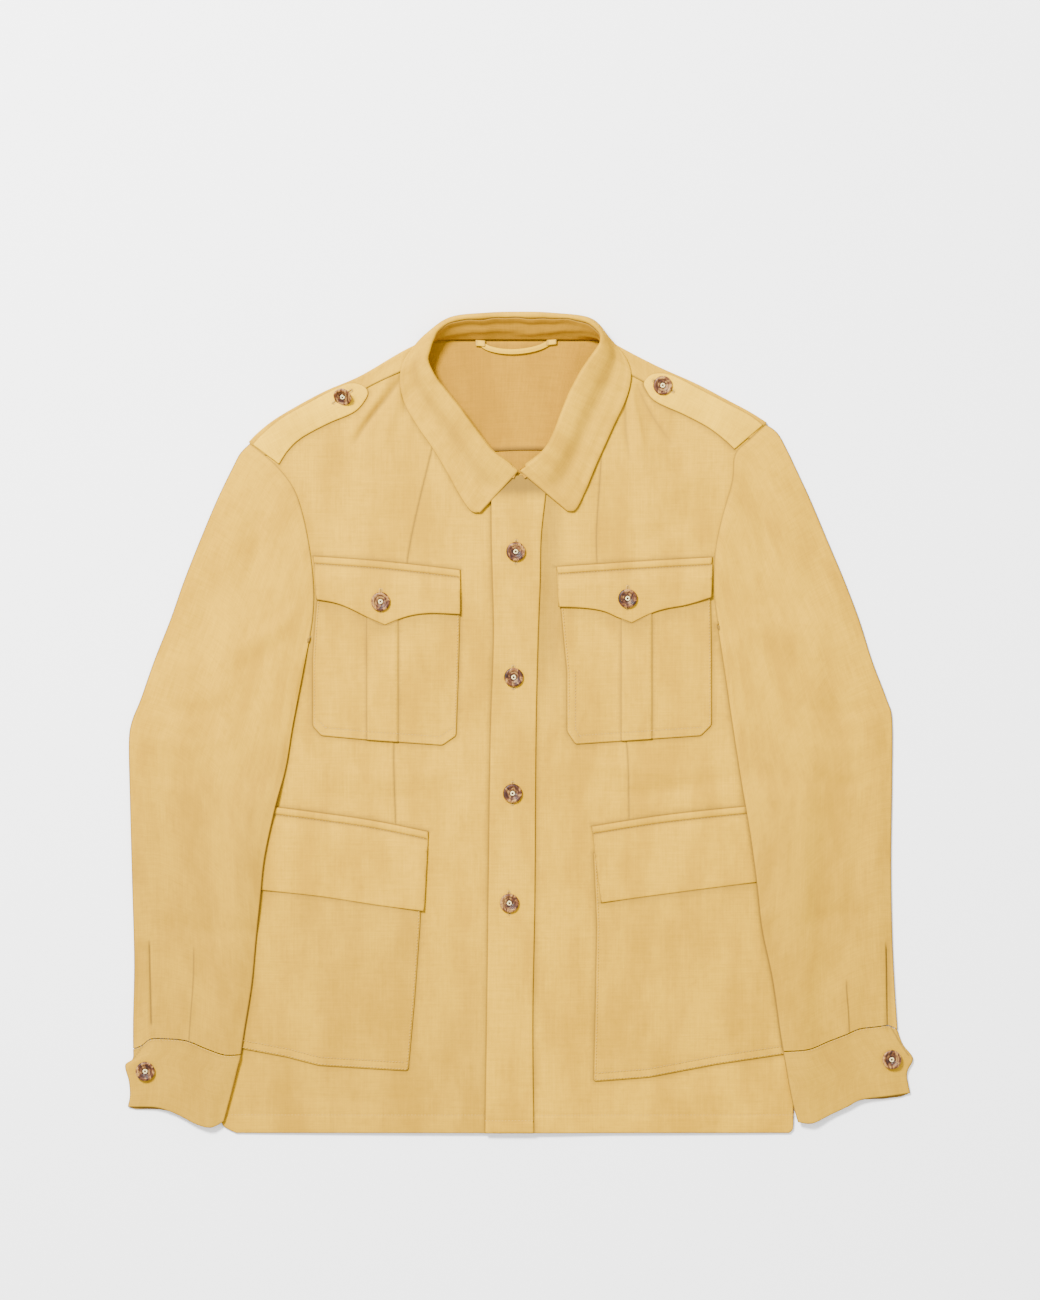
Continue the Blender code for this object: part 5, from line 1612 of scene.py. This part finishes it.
def make_cuff(side, mouth):
    """mouth is the sleeve's end, as pairs: out and height."""
    name = SIDE_NAMES[side]
    seam = smooth(CUFF_SEAM[side], 1.0) + [0, 1.0]
    bottom = smooth(CUFF_BOTTOM[side], 1.0)
    outer, inner = smooth(CUFF_OUTER[side], 1.0), smooth(CUFF_INNER[side], 1.0)
    tab = smooth(CUFF_TAB[side], 1.0)
    v_rows = fine_ended(41, 0.004, 0.012)
    _, widths = tube_rows(seam, bottom, outer, inner, v_rows)
    u = np.array([tube_shares(width, (TAB_SHARE,), (7, 34)) for width in widths])
    upper = coons(seam, bottom, outer, inner, u, v_rows)
    low_u = np.array([low_shares(width) for width in widths])
    under = coons(seam, bottom, outer, inner, low_u, v_rows)
    v = v_rows[:, None]
    under[:, :, 1] -= 2.4 * ramp(low_u, 0.5, 0.2) * ramp(v, 0.8, 1) * ramp(low_u, 0, 0.06)
    x, y = side * upper[:, :, 0], upper[:, :, 1]
    base = sleeve_under(side, x, y)
    from_edge = np.minimum(u, 1 - u) * widths[:, None]
    off_tab, tab_side, along = measure(x, y, mirrored(side, tab))
    outside_tab = (tab_side * side > 0) & (off_tab < 24) & (y > tab[-1][1] - 8)
    height = tube_height(u, from_edge) + CUFF_RISE - 0.9 * outside_tab * ramp(along, -0.1, 0.1)
    from_seam = distance(x, y, mirrored(side, seam))
    from_mouth = distance(x, y, mirrored(side, bottom))
    stitch = bell(from_seam - 3.2, 0.9)
    height = height + rounded(from_mouth, 1.6, 0.9) - 0.35 * stitch
    height = height + 0.35 * np.sin(u * 9 + v * 4) * np.sin(pi * v)
    half = FOLD_THICK / 2
    z = base + half + (height - half) * fold_curve(from_edge)
    meet = np.interp(side * x, mouth[:, 0], mouth[:, 1]) + 0.22 + rounded(from_seam, 1.0, 0.15)
    z = z + (meet - z) * ramp(from_seam, 14, 1.5)
    ring, _ = close_tube(side, np.dstack([x, y, z]), under, low_u, widths)
    # Painted shade under the tab's edge, along the seam, the mouth and the folded edges, and on the inside
    # seen in the mouth; the cuff darker all over, a little more in its stitch groove
    tab_shade = 0.9 * bell(off_tab, 0.9)
    tone = 0.36 if side == RIGHT else 0.26
    shade = strongest(tab_shade, 0.5 * ramp(from_seam, 1.2, 0.2), 0.8 * ramp(from_mouth, 1.2, 0),
                      tone + 0.15 * stitch, ramp(from_edge, 1.5, 0.2))
    shade = np.concatenate([shade, 0.9 * ramp(v, 0.9, 0.97) * np.ones(low_u.shape)], axis=1)
    grain = tube_grain(u, low_u, widths, v * CUFF_LENGTH)
    cuff = loft_mesh("cuff_band_" + name, ring, DOUBLE, KHAKI, grain, ring=True, flip=side == LEFT,
                     shade=shade)
    dress(cuff, "cuff_" + name, *CUTS["cuff"], rests_on=["floor", "lower_bag_" + name], held="folded")
    row = int(np.argmin(np.abs(from_seam[:, 20] - 3.2)))
    SEWN["seam"].append(np.column_stack([x[row], y[row], z[row] - 0.05])[6:-6])


def make_hanger():
    """A strap sewn down at both ends, under a small tab turned back over each of them."""
    line = smooth(HANGER, 1.2)
    half = HANGER_WIDTH / 2
    edges = beside(line, -half, -half * 0.72, -half * 0.3, half * 0.3, half * 0.72, half)
    share = np.linspace(0, 1, len(line))
    top = 2 * CLOTH + GAP + 1.7 * np.sin(pi * share) ** 0.6
    rises = (-0.5, 0.1, -0.1, -0.1, 0.1, -0.5)
    grid = np.stack([np.column_stack([edge, top + rise]) for edge, rise in zip(edges, rises)], axis=1)
    # Painted shade along the strap's edges and down its middle
    shade = np.tile([0.7, 0.15, 0.4, 0.1, 0.15, 0.7], (len(line), 1))
    grain = np.dstack([np.tile(np.linspace(0, HANGER_WIDTH, 6), (len(line), 1)),
                       np.tile((share * 80)[:, None], (1, 6))])
    # The strap and its tabs use the lighter copy of the linen: painted light
    strap = loft_mesh("hanger_strap", grid, CLOTH, KHAKI_LIT, grain, shade=shade)
    dress(strap, "hanger_loop", *CUTS["hanger_loop"], rests_on=["shoulder_yoke"])
    tab_base = 3 * CLOTH + 2 * GAP

    def tab_surface(x, y, away):
        # Painted shade along the tab's edges
        return tab_base + rounded(away, 1.0, 0.6), 0.8 * ramp(away, 1.2, 0)

    for name, (left, right, low, high, slope) in HANGER_TABS.items():
        outline = [(left, low), (right, low + slope), (right, high + slope), (left, high), (left, low)]
        tab = cut_sheet("hanger_tab_" + name, ring_of(cornered(outline, 0.9, 0.8)), tab_surface,
                        CLOTH, KHAKI_LIT, spacing=1.4)
        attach(tab, "root")
        reach = np.linspace(low + 1, high - 1, 8)
        SATIN.append(np.array([(left + 1.2, y, tab_base) for y in reach]))
        SATIN.append(np.array([(right - 1.2, y + slope, tab_base) for y in reach]))


# Buttons

def circle(radius, count, x=0.0, y=0.0):
    """Points round a circle, anticlockwise."""
    turn = np.linspace(0, 2 * pi, count, endpoint=False)
    return np.column_stack([x + radius * np.cos(turn), y + radius * np.sin(turn)])


def tube(path, radius, sides=8):
    """The points and faces of a closed thread along a path, thinner at its ends."""
    path = np.asarray(path, float)
    along = np.gradient(path, axis=0)
    along /= np.linalg.norm(along, axis=1)[:, None]
    flank = np.cross(along, [0.13, 0.21, 0.97])
    flank /= np.linalg.norm(flank, axis=1)[:, None]
    other = np.cross(along, flank)
    points, faces = [], []
    for i, spot in enumerate(path):
        for k in range(sides):
            angle = 2 * pi * k / sides
            points.append(spot + radius * (cos(angle) * flank[i] + sin(angle) * other[i]))
    for i in range(len(path) - 1):
        for k in range(sides):
            a, b = i * sides + k, i * sides + (k + 1) % sides
            faces.append((a, b, b + sides, a + sides))
    faces.append(tuple(range(sides))[::-1])
    last = (len(path) - 1) * sides
    faces.append(tuple(range(last, last + sides)))
    return points, faces


def horn_shape(holes):
    """A button with four holes through its well, lying at the origin."""
    loops = [circle(WELL * BUTTON_RADIUS, BUTTON_SIDES)]
    loops += [circle(HOLE_RADIUS, HOLE_SIDES, *hole) for hole in holes]
    flat, edges, starts = [], [], []
    for loop in loops:
        starts.append(len(flat))
        edges += [(len(flat) + i, len(flat) + (i + 1) % len(loop)) for i in range(len(loop))]
        flat += [Vector(point) for point in loop.tolist()]
    verts, _, faces, _, _, _ = delaunay_2d_cdt(flat, edges, [], 1, 0.00001)
    bm = bmesh.new()
    top = [bm.verts.new((v.x, v.y, WELL_HEIGHT - 0.15 * (1 - (v.x ** 2 + v.y ** 2) / 20.3))) for v in verts]
    bottom = [bm.verts.new((v.x, v.y, 0.0)) for v in verts]
    for face in faces:
        mx, my = sum(verts[i].x for i in face) / len(face), sum(verts[i].y for i in face) / len(face)
        if all((mx - hx) ** 2 + (my - hy) ** 2 > (HOLE_RADIUS * 0.97) ** 2 for hx, hy in holes):
            bm.faces.new([top[i] for i in face])
            bm.faces.new([bottom[i] for i in reversed(face)])
    for start in starts[1:]:
        for i in range(HOLE_SIDES):
            a, b = start + i, start + (i + 1) % HOLE_SIDES
            bm.faces.new((top[a], top[b], bottom[b], bottom[a]))
    rings = [top[:BUTTON_SIDES]]
    for part, height in BUTTON_PROFILE:
        rings.append([bm.verts.new((x, y, height)) for x, y in circle(part * BUTTON_RADIUS, BUTTON_SIDES)])
    rings.append(bottom[:BUTTON_SIDES])
    for first, second in zip(rings, rings[1:]):
        for i in range(BUTTON_SIDES):
            k = (i + 1) % BUTTON_SIDES
            bm.faces.new((first[i], second[i], second[k], first[k]))
    bmesh.ops.recalc_face_normals(bm, faces=bm.faces)
    return bm


def thread_paths(holes):
    """Two strands between each pair of neighbouring holes, and the strands that go down into the cloth."""
    for k, start in enumerate(np.array(holes)):
        end = np.array(holes[(k + 1) % 4])
        outward = (start + end) / 2
        outward /= np.linalg.norm(outward)
        for bow in STRANDS:
            path = []
            for t in np.linspace(0, 1, 9):
                spot = start + (end - start) * t + outward * bow * sin(pi * t)
                path.append((*spot, 0.6 + 2.1 * sin(pi * t) ** 0.35))
            yield path, STRAND_RADIUS
    for hole_x, hole_y in holes:
        yield [(0.6 * hole_x, 0.6 * hole_y, z) for z in SHANK_HEIGHTS], SHANK_RADIUS


def make_button(node, turn, tilt=0.0, lean=0.0, raised=0.0):
    """A horn button where the solid one is. It tilts about a level axis, which lean turns."""
    low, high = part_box(node)
    centre_x, centre_y = (low.x + high.x) / 2 / MM, (low.y + high.y) / 2 / MM
    angles = [radians(turn + 90 * k) for k in range(4)]
    holes = [(HOLE_OUT * cos(angle), HOLE_OUT * sin(angle)) for angle in angles]
    bm = horn_shape(holes)
    # Painted shade down the holes, and a darker brown in the rim's groove
    painted_shade = []
    for vert in bm.verts:
        in_hole = any((vert.co.x - hx) ** 2 + (vert.co.y - hy) ** 2 < 0.75 for hx, hy in holes)
        groove_share = bell(vert.co.xy.length / BUTTON_RADIUS - 0.6, 0.06) * (vert.co.z > 1)
        painted_shade.append(0.75 * float(groove_share) + 0.8 * in_hole)
    place_it = (Matrix.Translation((centre_x, centre_y, low.z / MM + raised))
                @ Matrix.Rotation(radians(lean), 4, "Z") @ Matrix.Rotation(radians(tilt), 4, "X")
                @ Matrix.Rotation(radians(-lean), 4, "Z"))
    bmesh.ops.transform(bm, matrix=Matrix.Scale(MM, 4) @ place_it, verts=bm.verts)
    mesh = bpy.data.meshes.new("horn_" + node)
    bm.to_mesh(mesh)
    bm.free()
    mesh.attributes.new("painted_shade", "FLOAT", "POINT").data.foreach_set("value", painted_shade)
    mesh.materials.append(HORN)
    mesh.shade_smooth()
    made = add_object("horn_" + node, mesh)
    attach(made, "root")
    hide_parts(node)

    points, faces = [], []
    for path, radius in thread_paths(holes):
        ring_points, ring_faces = tube(path, radius)
        faces += [tuple(i + len(points) for i in face) for face in ring_faces]
        points += [tuple(place_it @ Vector(point)) for point in ring_points]
    thread = new_mesh("thread_" + node, points, faces, CREAM_THREAD)
    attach(thread, "root")


# Build everything

make_back()
make_yoke()
make_hanger()
for wearer_side in (RIGHT, LEFT):
    make_front(wearer_side)
make_placket()
make_collar()
for wearer_side in (RIGHT, LEFT):
    make_chest_pocket(wearer_side)
    make_lower_pocket(wearer_side)
    make_epaulette(wearer_side)
    make_cuff(wearer_side, make_sleeve(wearer_side))
for node_name, angle in BUTTON_TURNS.items():
    make_button(node_name, angle)
make_button("button_shoulder_right", 12, tilt=38, lean=-29, raised=3.2)
sew("hem_stitching", SEWN["hem"], KHAKI_THREAD, pitch=3.1, length=2.3)
sew("pocket_stitching", SEWN["pocket"], KHAKI_THREAD, pitch=2.9, length=2.1, seed=11)
sew("cuff_stitching", SEWN["seam"], KHAKI_THREAD, pitch=2.9, length=2.1, seed=5)
sew("buttonhole_stitching", SATIN, KHAKI_THREAD, pitch=0.6, length=0.5, width=1.9, thickness=0.7, seed=3)


# Floor, light and camera

FLOOR_REACH = 6000
FLOOR_HEIGHT = -0.3
corners = [(FLOOR_REACH * x, FLOOR_REACH * y, FLOOR_HEIGHT) for x, y in ((-1, -1), (1, -1), (1, 1), (-1, 1))]
floor = new_mesh("floor", corners, [(0, 1, 2, 3)], paper_floor())


def soft_light(name, spot, size, power):
    """A round lamp that shines at the origin. Places and sizes are metres, and power is watts."""
    lamp = bpy.data.lights.new(name, "AREA")
    lamp.shape = "DISK"
    lamp.size = size
    lamp.energy = power
    made = add_object(name, lamp)
    made.location = spot
    made.rotation_euler = (-Vector(spot)).to_track_quat("-Z", "Y").to_euler()


soft_light("key_light", (-1.25, 1.75, 2.8), size=0.9, power=445)
soft_light("fill_light", (1.8, -1.2, 3.0), size=2.6, power=30)

world = bpy.data.worlds.new("studio")
world.use_nodes = True
sky = world.node_tree.nodes["Background"].inputs
sky["Color"].default_value = (1, 1, 1, 1)
sky["Strength"].default_value = 1.5
bpy.context.scene.world = world

# The camera looks straight down
lens = bpy.data.cameras.new("camera")
lens.lens = 120
lens.clip_end = 50
camera = add_object("camera", lens)
camera.location = (0.00094, 0.0686, 4.077)
bpy.context.scene.camera = camera
